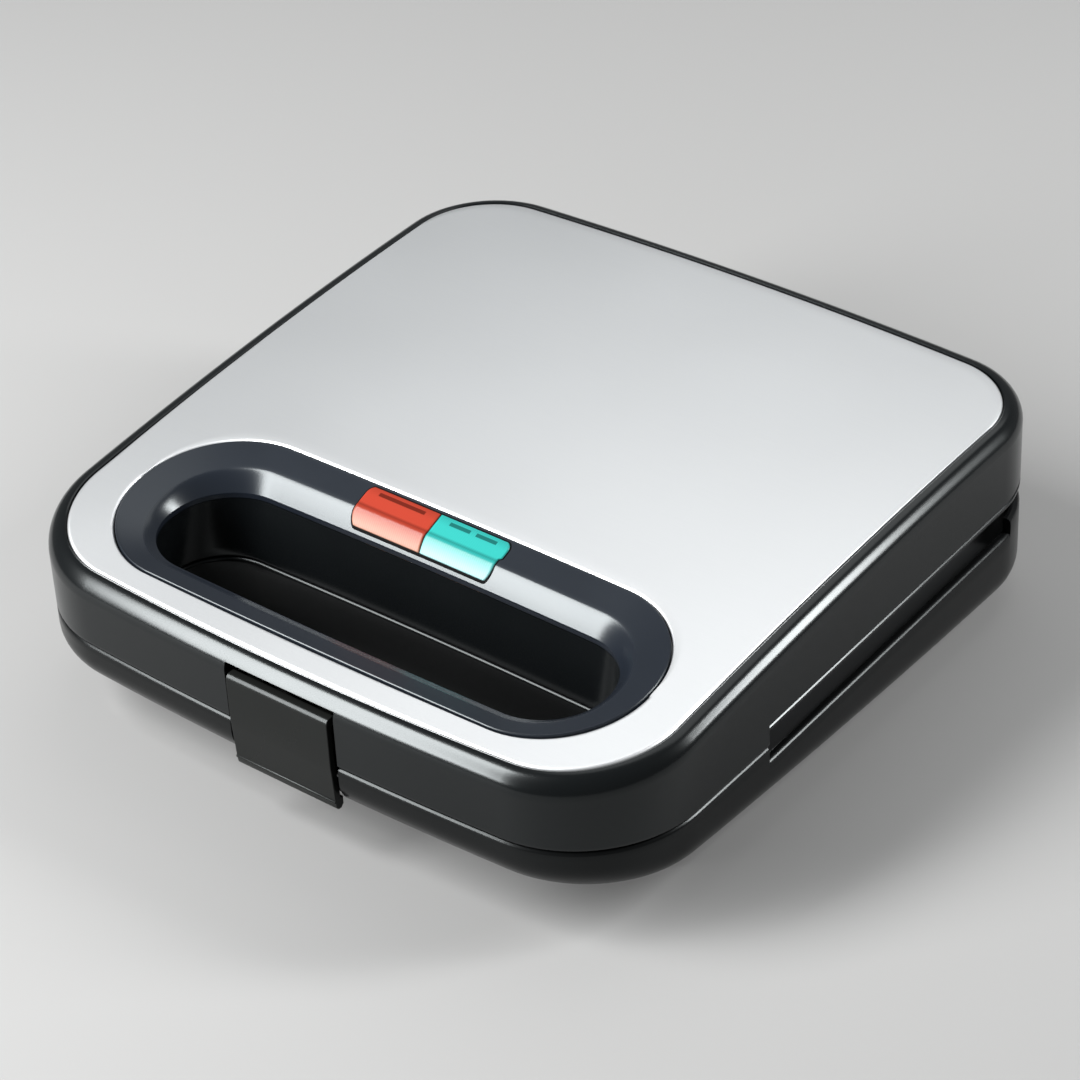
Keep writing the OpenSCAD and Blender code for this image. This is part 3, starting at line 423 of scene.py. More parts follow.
# The bezel of the handle: a blue-black moulding with a satin band that slopes from the plate down to a
# broad polished round, which turns into the upright wall of the finger opening.
band_end, band_drop, round_drop = 0.66, 0.0021, 0.001
rim_z, round_power = 0.022, 1.7
bezel_edge_t, bezel_foot, bezel_under = 0.0013, 0.0015, 0.002
bezel_wall_z = (0.0215, 0.0208, 0.0202)
polish_start, polish = 0.08, 0.75


def bezel_row(u, share):
    """Row of the bezel at a share of the way from its edge to the opening. The band slopes down evenly, and
    the round after it falls ever more steeply, by a power of the share, to the rim of the opening."""
    outer, inner = np.stack(bezel_plan(u), -1), np.stack(well_plan(u, well_top_z), -1)
    p = outer + (inner - outer) * share
    drop = np.interp(share, (0.0, 0.02, 0.06, band_end, 1.0),
                     (-0.0001, -0.0003, -0.0001, band_drop, band_drop + round_drop))
    fall = min(max((share - band_end) / (1 - band_end), 0.0), 1.0) ** round_power
    return np.column_stack((p, (lid_top(p[:, 1]) - drop) * (1 - fall) + rim_z * fall))


bezel_shares = np.concatenate(((0.0, 0.02, 0.06), np.linspace(0.1, band_end, 8),
                               band_end + (1 - band_end) * np.sin(np.radians(np.linspace(5, 90, 18)))))
rows = [bezel_row(plate_u, 0.0) - (0, 0, bezel_edge_t)]
rows += [bezel_row(plate_u, share) for share in bezel_shares]
rows += [row(well_plan(plate_u, well_top_z), z) for z in bezel_wall_z]
rows += [row(well_plan(plate_u, well_top_z, -bezel_foot), well_top_z),
         bezel_row(plate_u, band_end) - (0, 0, bezel_under)]
bezel = piece("handle_bezel_moulding", rows)
in_round = np.concatenate(((0.0,), np.clip((bezel_shares - band_end) / polish_start, 0, 1),
                           np.ones(len(bezel_wall_z) + 2)))
round_values = bezel.data.attributes.new("round_share", "FLOAT", "POINT").data
round_values.foreach_set("value", np.repeat(in_round, len(plate_u)))

# Its finish is the moulding's, with less roughness where the attribute says that the round is.
bezel_black = moulded("blue_black_moulding", (0.007, 0.009, 0.013), 0.31, 0.03, 2400.0, 0.05, gloss=0.36)
tree = bezel_black.node_tree
shader = tree.nodes["Principled BSDF"]
drift = shader.inputs["Roughness"].links[0].from_node
round_share = add_node(tree, "Attribute", {}, attribute_name="round_share")
smoother = add_node(tree, "MapRange", {"To Min": 1.0, "To Max": polish})
polished = add_node(tree, "Math", {}, operation="MULTIPLY")
join(tree, (round_share, "Fac", smoother, "Value"), (drift, "Result", polished, 0),
     (smoother, "Result", polished, 1), (polished, "Value", shader, "Roughness"))
dress(bezel, bezel_black, "lid", "handle_bezel", "bezel_black")

# The two lamp lenses, red on the left and blue-green on the right: clear mouldings that follow the
# bezel over its round, a little proud of it, with rounded outer corners. They lie in a dark seat that
# shows as a line round them.
lens_joint_x, lens_w, lens_t, lens_proud = -0.004, 0.027, 0.0016, 0.0005
lens_shares, profile_length = (0.09, 0.94), 0.0138
pillow_in = np.array((0.0, 0.00008, 0.0002, 0.0004, 0.0006))
pillow_share = np.array((0.0, 0.45, 0.75, 0.93, 1.0))
pillow_flat, pillow_cols = 0.0007, 27
end_step, step_share, step_run = 0.0009, 0.50, 0.04
corner_r, joint_r, joint_gap = 0.0028, 0.0003, 0.0001
lens_top_y, lens_low_y = -0.0387, -0.0505
# Two dark dashes near the upper edge of each lens: where they start and end across it, and the band along it
# where they lie.
dash_end, dash_gap = 0.0088, 0.0011
dash_band_share, dash_band_half_share = 0.195, 0.052
seat_line, seat_corner_r, seat_proud, seat_shares = 0.0004, 0.0031, 0.00012, (0.055, 0.975)


def corner_cut(radius, edge):
    """How far a rounded corner takes the end back at a distance from the edge: a quarter circle."""
    return radius - math.sqrt(max(radius ** 2 - max(radius - edge, 0.0) ** 2, 0.0))


def lens(name, x_start, x_end, r_start, r_end, proud=lens_proud, shares=lens_shares, step=0.0):
    """Pillow over the bezel between two distances across and two shares of its profile, lifted along the
    bezel's normal. Its corners are rounded at the two ends by their radii, its border dips below the bezel,
    and past the band its right end stands back by a step."""
    place_shares = np.linspace(*shares, 33)
    from_edge = np.minimum(place_shares - shares[0], shares[1] - place_shares) * profile_length
    border = np.concatenate(((0.0, 0.0), pillow_in))
    swell = np.concatenate(((-1.0, -0.45), pillow_share))
    rows = []
    for share, edge in zip(place_shares, from_edge):
        set_back = step * min(max((share - step_share) / step_run, 0.0), 1.0)
        low, high = x_start + corner_cut(r_start, edge), x_end - corner_cut(r_end, edge) - set_back
        x = np.concatenate((low + border, np.linspace(low + pillow_flat, high - pillow_flat, pillow_cols),
                            high - border[::-1]))
        end_lift = np.concatenate((swell, np.ones(pillow_cols), swell[::-1])) * proud
        edge_lift = np.interp(edge, pillow_in, (-1.0, *pillow_share[1:])) * proud
        reach = bezel_half_w - bezel_half_d * end_share
        reach += share * (well_w - well_d * end_share - reach)
        line, ahead, behind = (bezel_row(5 - x / reach, at)
                               for at in (share, min(share + 0.01, 1.0), share - 0.01))
        line[:, 0] = x
        slope = (ahead - behind)[:, 1:]
        slope = slope / np.linalg.norm(slope, axis=1, keepdims=True)
        line[:, 1:] += np.minimum(end_lift, edge_lift)[:, None] * np.stack((slope[:, 1], -slope[:, 0]), -1)
        rows.append(line)
    top = np.array(rows)
    return piece(name, np.concatenate((top, top[:, ::-1] - (0, 0, lens_t)), 1), closed=False)


def lens_finish(name, colour, painted_highlight_colour, middle, dash_start):
    """Clear coloured moulding over a tray of lamps: its colour is deep on the band, darkened along the bend
    by painted shade, and fades to a pale lower edge, which is a painted highlight. Fine ribs on its back run
    from front to rear, and two dark dashes show near its upper edge, on either side of its middle."""
    material, tree, shader = new_material(name)
    place = add_node(tree, "TexCoord", {})
    ribs = add_node(tree, "TexWave", {"Scale": 420.0, "Distortion": 0.6})
    split = add_node(tree, "SeparateXYZ", {})
    depth = add_node(tree, "MapRange", {"From Min": mid_y + lens_top_y, "From Max": mid_y + lens_low_y})
    blend = add_node(tree, "ValToRGB", {})
    # Stops of the ramp: where along the lens, how strong its colour is, and how far it turns pale. The dip
    # after the bend is painted shade, and the pale lower edge is a painted highlight.
    stops = ((0.0, 0.7, 0), (0.30, 1.0, 0), (0.55, 1.0, 0), (0.62, 0.55, 0), (0.68, 0.8, 0),
             (0.80, 0.9, 0.30), (0.98, 1.0, 1))
    ramp = blend.color_ramp.elements
    for k, (at, painted_shading, painted_highlight_share) in enumerate(stops):
        stop = ramp.new(at) if k > 1 else ramp[k]
        stop.position = at
        stop.color = (*(c * painted_shading * (1 - painted_highlight_share) + p * painted_highlight_share for c, p in zip(colour, painted_highlight_colour)), 1)
    ribbed = add_node(tree, "Mix", {"B": (0.88, 0.88, 0.88, 1)}, data_type="RGBA", blend_type="MULTIPLY")
    # The two dark dashes: a band near the lens's upper edge, kept only on either side of its middle, darkens
    # the colour.
    in_dash_band = add_node(tree, "Math", {1: dash_band_share, 2: dash_band_half_share}, operation="COMPARE")
    across = add_node(tree, "Math", {1: middle}, operation="SUBTRACT")
    from_middle = add_node(tree, "Math", {}, operation="ABSOLUTE")
    along_dashes = add_node(tree, "Math", {1: (dash_start + dash_end) / 2, 2: (dash_end - dash_start) / 2},
                           operation="COMPARE")
    slots = add_node(tree, "Math", {}, operation="MULTIPLY")
    dashed = add_node(tree, "Mix", {"B": (*(c * 0.30 for c in colour), 1)}, data_type="RGBA")
    join(tree, (place, "Object", ribs, "Vector"), (place, "Object", split, "Vector"),
         (split, "Y", depth, "Value"), (depth, "Result", blend, "Fac"), (blend, "Color", ribbed, "A"),
         (ribs, "Fac", ribbed, "Factor"), (ribbed, "Result", dashed, "A"), (depth, "Result", in_dash_band, 0),
         (split, "X", across, 0), (across, "Value", from_middle, 0), (from_middle, "Value", along_dashes, 0),
         (in_dash_band, "Value", slots, 0), (along_dashes, "Value", slots, 1), (slots, "Value", dashed, "Factor"),
         (dashed, "Result", shader, "Base Color"))
    set_values(shader, {"Roughness": 0.22, "Specular IOR Level": 0.11})
    return material


lens_seat = lens("lens_seat", lens_joint_x - lens_w - seat_line, lens_joint_x + lens_w + seat_line,
                 seat_corner_r, seat_corner_r, seat_proud, seat_shares, end_step)
seat_black = moulded("lens_seat_black", (0.002, 0.002, 0.002), 0.6, 0.05, 2400.0, 0.1, gloss=0.05)
dress(lens_seat, seat_black, "lid", "handle_bezel", "bezel_black")

# Each lens's pale colour is the colour of its painted highlight at the lower edge.
for node, start, end, radii, step, colour, painted_highlight_colour, dash_start in (
        ("red_lens", lens_joint_x - lens_w, lens_joint_x - joint_gap, (corner_r, joint_r), 0.0,
         (0.265, 0.031, 0.017), (0.335, 0.165, 0.115), 0.0),
        ("green_lens", lens_joint_x + joint_gap, lens_joint_x + lens_w, (joint_r, corner_r), end_step,
         (0.022, 0.265, 0.24), (0.23, 0.41, 0.41), dash_gap)):
    name = node.replace("lens", "lamp_lens")
    plastic = lens_finish(name + "_plastic", colour, painted_highlight_colour, (start + end) / 2, dash_start)
    dress(lens(name, start, end, *radii, step=step), plastic, "lid", node, node)

# The base's moulding: a satin black shell with a wedge-shaped underside that rises to the front. Its
# upper edge drops beside the plates for the side gap and stands higher again along the rear. Wells for
# the screws, a hole for the gland and notches for the lid's knuckles are cut out of it.
base_round, base_lip, latch_recess = 0.010, 0.0016, 0.0052
wedge_middle, wedge_rise, wedge_fall = 0.024, 0.0049, 0.0025
side_gap_below, side_gap_fall, rear_rim_z = -0.0056, 0.0032, 0.0024
well_round, well_wall = 0.0015, 0.0022
base_well_top = ((-0.0001, -0.0010), (-0.0004, -0.0005), (-0.0009, -0.0003), (-well_wall, -0.0003))
screw_places = [(side * x, y) for side in (-1, 1) for x, y in ((0.0998, -0.0600), (0.0400, 0.1050))]
screw_well_r, screw_well_low, screw_well_top = 0.0030, -0.040, -0.0145
gland_r, gland_z, rear_inside, rear_outside = 0.0051, -0.0145, 0.110, 0.125
hinge_y, hinge_x, notch_half, notch_r = 0.1171, 0.070, 0.0060, 0.0085


def base_low(y):
    """Depth of the base's underside under the seam: a parabola through its front, middle and rear depths."""
    t = y / crown_reach
    return wedge_middle + wedge_rise * t - wedge_fall * t ** 2


def base_edge(y):
    """Height of the base's upper edge: just under the seam in front, a straight line below the side gap, and
    a raised rim at the rear."""
    open_edge = side_gap_below + side_gap_fall * (y - gap_start_y) / (gap_end_y - gap_start_y)
    return np.where(y < gap_start_y, -seam, np.where(y < gap_end_y, open_edge, rear_rim_z))


rear_u = 3 + np.arcsin((near(gap_end_y) - half_d + corner_rear) / corner_rear) / (math.pi / 2)
base_u = around([*front_u, *step_u, *rear_u])
base_x, base_y = outline(base_u)
top_z = base_edge(base_y)
recess = np.where((np.abs(base_x) < latch_half) & (base_y < 0), latch_recess, 0.0)


def base_row(inset, z=None, above=None):
    """Row of the base's skin at an inset from its wall, at a height or above the underside, set back behind
    the latch."""
    x, y = outline(base_u, inset)
    z = above - base_low(y) if z is None else z
    return np.stack((x, y + recess, z + 0 * x), -1)


rows = [base_row(wall, top_z), base_row(base_lip, top_z)]
rows += [base_row(inset, top_z - fall) for fall, inset in rounding(base_lip, 30, 60, 90)]
skirt = base_round - base_low(base_y)
rows += [base_row(0.0, (top_z - base_lip) * (1 - share) + skirt * share) for share in (0.3, 0.7)]
rows += [base_row(inset, above=above) for inset, above in rounding(base_round, *np.linspace(0, 90, 11))]
bottom = rows[-1][:, :2]
opening = np.stack(well_plan(base_u, draft_end_z, -well_round), -1)
for share in np.linspace(0, 1, 12)[1:]:
    p = bottom + (opening - bottom) * share
    rows.append(np.column_stack((p, -base_low(p[:, 1]))))
for above, left in rounding(well_round, 30, 60, 90):
    x, y = well_plan(base_u, draft_end_z, -left)
    rows.append(row((x, y), above - base_low(y)))
x, y = well_plan(base_u, draft_end_z)
for share in (0.3, 0.7, 0.93):
    rows.append(row((x, y), (well_round - base_low(y)) * (1 - share) - seam * share))
rows += [row(well_plan(base_u, draft_end_z, inset), z) for inset, z in base_well_top]
x, y = well_plan(base_u, draft_end_z, -well_wall)
rows += [row((x, y), wall - base_low(y)), base_row(base_round, above=wall), base_row(wall, above=base_round)]
base_wall = piece("base_moulding", rows)


def circle(centre, r, angle):
    """Plan of the points round a centre at a distance and an angle, which may both be arrays."""
    return centre[0] + r * np.cos(angle), centre[1] + r * np.sin(angle)


def lathed(name, centre, profile, sides=48, along="z"):
    """Turned piece about a line along one axis: a circle round the centre for each radius and place of its
    profile, closed at both ends."""
    angle = np.linspace(0, math.tau, sides, endpoint=False)
    rings = np.array([row(circle(centre, r, angle), at) for r, at in profile])
    order = {"x": [2, 0, 1], "y": [0, 2, 1], "z": [0, 1, 2]}[along]
    return piece(name, rings[:, :, order], closed=False)


def cut_out(body, cutters):
    """Cuts the cutters out of a piece and deletes them."""
    for cutter in cutters:
        modifier = body.modifiers.new(cutter.name, "BOOLEAN")
        modifier.operation, modifier.solver, modifier.object = "DIFFERENCE", "EXACT", cutter
    bpy.context.view_layer.update()
    shape = bpy.data.meshes.new_from_object(body.evaluated_get(bpy.context.evaluated_depsgraph_get()))
    body.modifiers.clear()
    body.data = shape
    body.data.set_sharp_from_angle(angle=sharp_angle)
    for cutter in cutters:
        bpy.data.objects.remove(cutter)


cutters = [lathed("screw_well", place, [(screw_well_r, screw_well_low), (screw_well_r, screw_well_top)])
           for place in screw_places]
cutters.append(lathed("gland_hole", (0.0, gland_z), [(gland_r, rear_inside), (gland_r, rear_outside)],
                      along="y"))
cutters += [lathed("hinge_notch", (hinge_y, hinge_z), [(notch_r, x - notch_half), (notch_r, x + notch_half)],
                   64, "x") for x in (-hinge_x, hinge_x)]
cut_out(base_wall, cutters)
satin_black = moulded("satin_black_moulding", (0.0030, 0.0032, 0.0033), 0.25, 0.03, 1900.0, 0.05, gloss=0.19)
base_part = (satin_black, "base", "base_shell", "housing_satin")
dress(base_wall, *base_part)

# The legs of the base and the rubber feet in them. The legs are tapered parts of the base's moulding,
# and each foot is a soft turned button pressed into its leg.
foot_h, leg_r, leg_taper, leg_in = 0.003, 0.0075, 0.12, 0.0025
leg_seat = ((0.0068, 0.0008), (0.0068, 0.0), (0.0073, 0.0), (leg_r, 0.0002))
foot_profile = ((0.0028, -0.0024), (0.0032, -0.0028), (0.0038, -0.0030), (0.0052, -0.0030), (0.0056, -0.0028),
                (0.0059, -0.0023), (0.0065, 0.0), (0.0065, 0.0004))
leg_z = foot_h - seam_z
rubber = moulded("black_rubber", (0.0080, 0.0080, 0.0080), 0.62, 0.05, 3500.0, 0.25)
for node in ("foot_front_left", "foot_front_right", "foot_rear_left", "foot_rear_right"):
    middle = np.mean(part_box(node), 0) - datum
    leg_top = leg_in - base_low(middle[1])
    leg = lathed(node.replace("foot", "leg"), middle, [(r, leg_z + z) for r, z in leg_seat] + [
        (leg_r + leg_taper * (leg_top - leg_z), leg_top)])
    dress(leg, *base_part)
    foot = lathed(node.replace("foot", "rubber_foot"), middle, [(r, leg_z + z) for r, z in foot_profile])
    dress(foot, rubber, "base", node, "foot_rubber")

# The hinges: two knuckles of the base on gussets on either side of a lid knuckle, whose neck runs up to
# the rear wall of the lid. All are parts of the two mouldings and turn on steel pins.
knuckle_r, lid_knuckle_half, base_knuckle_w = 0.006, 0.0055, 0.008
neck_y, neck_z, gusset_y, gusset_z = 0.1188, 0.0112, 0.1191, -0.0112
base_knuckle_starts = (("inner", -0.0140), ("outer", 0.0060))
bevel_angle = math.radians(28)


def extruded(name, profile, x_start, x_end, edge=0.0005):
    """Piece with a constant side view: its outline of distances to the rear and up, carried across, with
    rounded edges."""
    y, z = np.array(profile).T
    made = piece(name, [row((x + 0 * y, y), z) for x in (x_start, x_end)], closed=False)
    bevel = made.modifiers.new("rounding", "BEVEL")
    bevel.width, bevel.segments = edge, 3
    bevel.limit_method, bevel.angle_limit = "ANGLE", bevel_angle
    return made


def arc(y, z, r, start, stop, steps):
    """Part of a round in the side view, from one angle to another in degrees up from the rear."""
    return np.column_stack(circle((y, z), r, np.radians(np.linspace(start, stop, steps)))).tolist()


for side, way in (("left", -1), ("right", 1)):
    middle = way * hinge_x
    neck = [(neck_y, neck_z), (hinge_y - knuckle_r, neck_z)] + arc(hinge_y, hinge_z, knuckle_r, 180, 420, 26)
    low = middle - lid_knuckle_half
    dress(extruded("lid_knuckle_" + side, neck, low, low + 2 * lid_knuckle_half), *lid_part)
    for end, start in base_knuckle_starts:
        gusset = [(hinge_y - knuckle_r, gusset_z), (gusset_y, gusset_z)]
        gusset += arc(hinge_y, hinge_z, knuckle_r, 0, 180, 26)
        low = middle + (start if way > 0 else -start - base_knuckle_w)
        dress(extruded(f"base_knuckle_{end}_{side}", gusset, low, low + base_knuckle_w), *base_part)

# The latch: a satin black moulded plate on a steel pin in the front of the lid. Its lower part leans in
# to the base, a thin rib crosses it near its lower edge, and its lip hooks under a catch rib.
front_y = -0.1207
latch_profile = [(front_y + inward, z) for inward, z in (
    (0.0, 0.0152), (0.0002, 0.0161), (0.0007, 0.0167), (0.0014, 0.0170), (0.0036, 0.0170), (0.0036, 0.0150),
    (0.0022, 0.0140), (0.0022, 0.0), (0.0032, -0.0126), (0.0042, -0.0126), (0.0042, -0.0154),
    (0.0032, -0.0164), (0.0020, -0.0164), (0.0013, -0.0157), (0.0010, -0.0138), (0.0006, -0.0136),
    (0.0006, -0.0130), (0.0009, -0.0127), (0.0002, -0.0020), (0.0, 0.0))]
latch_plate_half, pin_y, pin_z, ear_r, ear_w, ear_in = 0.019, -0.1135, 0.011, 0.0035, 0.006, 0.0011
ear_end = 0.016
catch_profile = ((-0.1162, -0.0090), (-0.1162, -0.0120), (-0.1140, -0.0120), (-0.1140, -0.0090))
catch_half = 0.0198
latch_black = moulded("latch_black", (0.0060, 0.0064, 0.0060), 0.27, 0.03, 1500.0, 0.06, gloss=0.16)
ear = [(front_y + ear_in, pin_z - ear_r), *arc(pin_y, pin_z, ear_r, -90, 90, 17),
       (front_y + ear_in, pin_z + ear_r)]
for name, profile, start, end, edge in (
        ("latch_moulding", latch_profile, -latch_plate_half, latch_plate_half, 0.0004),
        ("latch_ear_left", ear, -ear_end, ear_w - ear_end, 0.0003),
        ("latch_ear_right", ear, ear_end - ear_w, ear_end, 0.0003)):
    dress(extruded(name, profile, start, end, edge), latch_black, "latch", "latch", "housing_satin")
dress(extruded("catch_rib", catch_profile, -catch_half, catch_half, 0.0003), *base_part)

# The two cooking plates: aluminium castings with a dark speckled non-stick coating. Each has two square
# pockets, and a ridge across each pocket divides the bread into two triangles. They are alike, face to face.
cook_w, cook_d, cook_r, cook_mid_y = 0.105, 0.067, 0.014, 0.031
cook_low, cook_edge, flange_high, basin_in, basin_high = 0.0004, 0.0006, 0.0059, 0.0075, 0.010
pocket_w, pocket_d, pocket_deep, pocket_lean = 0.0485, 0.059, 0.007, 0.005
ridge_half, pocket_corner, pocket_soft = 0.0025, 0.006, 0.012
columns, straight_rows, corner_rows = 231, 62, 13
cast_angle = math.radians(50)


def in_triangle(x, y, corners, inset, radius):
    """Distance inside the rounded triangle that lies inset within the corners' triangle: the signed distance
    to a smaller triangle, taken from the radius of its corners."""
    sides = np.linalg.norm(np.roll(corners, -2, 0) - np.roll(corners, -1, 0), axis=1)
    area_twice = np.linalg.det(corners[1:] - corners[0])
    centre = sides @ corners / sides.sum()
    small = centre + (corners - centre) * (1 - (inset + radius) * sides.sum() / abs(area_twice))
    reach, within = np.full(x.shape, 1.0), np.ones(x.shape, bool)
    for p, q in zip(small, np.roll(small, -1, 0)):
        along, px, py = q - p, x - p[0], y - p[1]
        share = np.clip((px * along[0] + py * along[1]) / (along @ along), 0, 1)
        reach = np.minimum(reach, np.hypot(px - share * along[0], py - share * along[1]))
        within &= (along[0] * py - along[1] * px) * np.sign(area_twice) > 0
    return radius + np.where(within, reach, -reach)


def border(grid):
    """Points or numbers along the four sides of a grid, as one loop."""
    return np.concatenate((grid[0], grid[1:, -1], grid[-1, -2::-1], grid[-2:0:-1, 0]))


def cooking_plate(name, way):
    """Plate whose face is a height field over a rounded rectangle. The pockets follow a sine of the distance
    inside their rounded triangles, softened at the rim, and way is 1 for the upper plate and -1 for the lower
    one. Rings round the face lead over its edge and flange to the basin at its back."""
    swing = np.sin(np.radians(np.linspace(0, 90, corner_rows)))
    half = np.concatenate((np.linspace(0, cook_d - cook_r, straight_rows)[:-1],
                           cook_d - cook_r + cook_r * swing))
    y = np.concatenate((-half[:0:-1], half))[:, None]
    reach = cook_w - cook_r + np.sqrt(cook_r ** 2 - np.clip(np.abs(y) - cook_d + cook_r, 0, cook_r) ** 2)
    x = np.linspace(-1, 1, columns)[None, :] * reach
    y = y + 0 * x
    deep = np.zeros(x.shape)
    half_pocket = np.array(((-pocket_w, -pocket_d), (pocket_w, -pocket_d), (-pocket_w, pocket_d)))
    for corners in (half_pocket, -half_pocket):
        t = in_triangle(np.abs(x) - pocket_w, y, corners, ridge_half, pocket_corner) / pocket_lean
        t = (t + np.sqrt(t ** 2 + pocket_soft)) / 2
        deep = np.maximum(deep, np.sin(np.minimum(t, 1.0) * math.pi / 2) * pocket_deep)
    face = np.stack((x, y + cook_mid_y, way * (cook_low + deep)), -1)
    rim = border(face)
    about, size = np.array((0.0, cook_mid_y, 0.0)), np.array((cook_w, cook_d, 1.0))
    face = about + (face - about) * (size - (cook_edge, cook_edge, 0)) / size
    index = np.arange(x.size).reshape(x.shape)
    faces = np.stack((index[:-1, :-1], index[:-1, 1:], index[1:, 1:], index[1:, :-1]), -1)
    faces = faces.reshape(-1, 4).tolist()
    points, loop, start = [face.reshape(-1, 3)], border(index), x.size
    for inset, z in ((cook_edge * 0.4, cook_low + cook_edge * 0.15), (0.0, cook_low + cook_edge),
                     (0.0, flange_high), (basin_in, flange_high), (basin_in, basin_high)):
        points.append(about + (rim - about) * (size - (inset, inset, 0)) / size)
        points[-1][:, 2] = way * z
        ring = start + np.arange(len(loop))
        faces += np.stack((loop, ring, np.roll(ring, -1), np.roll(loop, -1)), -1).tolist()
        loop, start = ring, start + len(ring)
    faces.append(loop.tolist())
    if way > 0:
        faces = [face[::-1] for face in faces]
    return shaped(name, np.concatenate(points), faces, cast_angle)


coating = moulded("nonstick_coating", (0.020, 0.020, 0.021), 0.42, 0.05, 900.0, 0.12)
tree = coating.node_tree
shader = tree.nodes["Principled BSDF"]
tint = shader.inputs["Base Color"].links[0].from_node
place = add_node(tree, "TexCoord", {})
speck = add_node(tree, "TexVoronoi", {"Scale": 700.0})
dots = add_node(tree, "MapRange", {"From Min": 0.10, "From Max": 0.16, "To Min": 0.5, "To Max": 0.0})
fleck = add_node(tree, "Mix", {"B": (0.16, 0.16, 0.16, 1)}, data_type="RGBA")
join(tree, (place, "Object", speck, "Vector"), (speck, "Distance", dots, "Value"),
     (dots, "Result", fleck, "Factor"), (tint, "Result", fleck, "A"), (fleck, "Result", shader, "Base Color"))
for node, way, body in (("upper_cooking_plate", 1, "lid"), ("lower_cooking_plate", -1, "base")):
    dress(cooking_plate("cast_" + node, way), coating, body, node, "cast_nonstick")

# The two liners: black mouldings that close the insides of lid and base round the cooking plates. The
# front part lies level with the seam round the finger opening and steps back to the part round the plates.
# They are notched for the latch and the hinges, and the lid's has recesses for the screws.
liner_inset, liner_t, step_y, step_in = 0.0029, 0.0024, gap_start_y, 0.0002
liner_back, liner_edge, well_clear, cook_lap = 0.006, 0.0005, 0.0025, 0.007
front_centre, rear_centre = (0.0, -well_y), (0.0, cook_mid_y)
latch_notch_half, latch_notch_y = 0.0225, -0.1051
hinge_notch_half, hinge_notch_y, cutter_y, cutter_z = 0.0143, 0.1086, 0.13, 0.02
recess_r, recess_half = 0.0030, 0.01
liner_black = moulded("liner_black", (0.010, 0.010, 0.0105), 0.48, 0.04, 1600.0, 0.15)


def seen_from(centre, loop, angles):
    """Distance from a centre to a loop of points in each of the directions given by angles."""
    x, y = loop[0] - centre[0], loop[1] - centre[1]
    return np.interp(angles, np.arctan2(y, x), np.hypot(x, y), period=math.tau)


def frame_between(name, centre, outer, inner, low, way):
    """Level frame between two loops round one centre, as thick as the liner from its low face up, its seen
    edges rounded. Rows beside the roundings keep its face flat in the light."""
    x, y = np.stack((outer, inner), 1)
    angles = np.unique(np.round(np.arctan2(y - centre[1], x - centre[0]), 5))
    out, ins = (seen_from(centre, loop, angles) for loop in (outer, inner))
    edge, high = liner_edge, low + liner_t
    profile = [(out, -inward, low + above) for inward, above in rounding(edge, 0, 30, 60, 90)]
    profile += [(out, -1.3 * edge, low), (out, -2 * edge, low), (ins, 2 * edge, low), (ins, 1.3 * edge, low)]
    profile += [(ins, left, low + above) for above, left in rounding(edge, 0, 30, 60, 90)]
    profile += [(ins, 0.0, high), (out, 0.0, high)]
    return piece(name, [row(circle(centre, reach + grow, angles), way * z) for reach, grow, z in profile])


def block(name, low, high):
    """Plain block used only as a cutter."""
    corners = [(low[1], low[2]), (high[1], low[2]), (high[1], high[2]), (low[1], high[2])]
    return piece(name, [[(x, y, z) for y, z in corners] for x in (low[0], high[0])], closed=False)


liner_u = np.linspace(0, 10, 480, endpoint=False)
x, y = outline(liner_u, liner_inset)
front_loop, rear_loop = (x, np.minimum(y, step_y)), (x, np.maximum(y, step_y - liner_t))
well_loop = well_plan(liner_u, 0.0, -well_clear)
cook_loop = outline(liner_u, cook_lap, cook_w, cook_d, cook_r, cook_r, 0.0, 0.0, -cook_mid_y)
for way, body, node in ((1, "lid", "lid_liner"), (-1, "base", "base_liner")):
    front = frame_between(body + "_liner_front", front_centre, front_loop, well_loop, cook_low, way)
    rear = frame_between(body + "_liner_frame", rear_centre, rear_loop, cook_loop, liner_back, way)
    step_low, step_high = way * (cook_low + step_in), way * (liner_back + liner_t)
    step_profile = [(step_y - liner_t, step_low), (step_y, step_low), (step_y, step_high),
                    (step_y - liner_t, step_high)]
    step = extruded(body + "_liner_step", step_profile, liner_inset - half_w, half_w - liner_inset)
    front_cutters = [block("latch_notch", (-latch_notch_half, -cutter_y, -cutter_z),
                           (latch_notch_half, latch_notch_y, cutter_z))]
    rear_cutters = [block("hinge_notch", (x - hinge_notch_half, hinge_notch_y, -cutter_z),
                          (x + hinge_notch_half, cutter_y, cutter_z)) for x in (-hinge_x, hinge_x)]
    for place in screw_places if way > 0 else ():
        recess = lathed("screw_recess", place, [(recess_r, -recess_half), (recess_r, recess_half)])
        (front_cutters if place[1] < step_y else rear_cutters).append(recess)
    cut_out(front, front_cutters)
    cut_out(rear, rear_cutters)
    for made in (front, rear, step):
        dress(made, liner_black, body, node, "liner_black")

# The housing screws: zinc-plated pan heads with a cross recess, their threads cut in plastic. Those of the
# base sit deep in its wells, and those of the lid show round the cooking plate when it is open.
shank_r, plain_shank, pitch, thread_deep, ring_gap = 0.0015, 0.0006, 0.0012, 0.00035, 0.00014
tip_length, tip_cut = 0.0016, 0.0006
head_eye, head_swell, head_r, head_foot_r = 0.0008, 0.0018, 0.00268, 0.0025
head_h, head_round, head_side_z, head_foot_z = 0.0021, 0.0009, -0.0010, -0.00015
cross_arm, cross_half, cross_top, cross_floor = 0.0017, 0.00035, -0.0030, -0.0011
screws = (("base", -0.0136, 0.0062), ("lid", 0.0084, 0.0119))
screw_steel = metal("zinc_plated_screw", (0.50, 0.50, 0.50), (0.66, 0.66, 0.65), 0.22, 0.38, (900.0,) * 3)


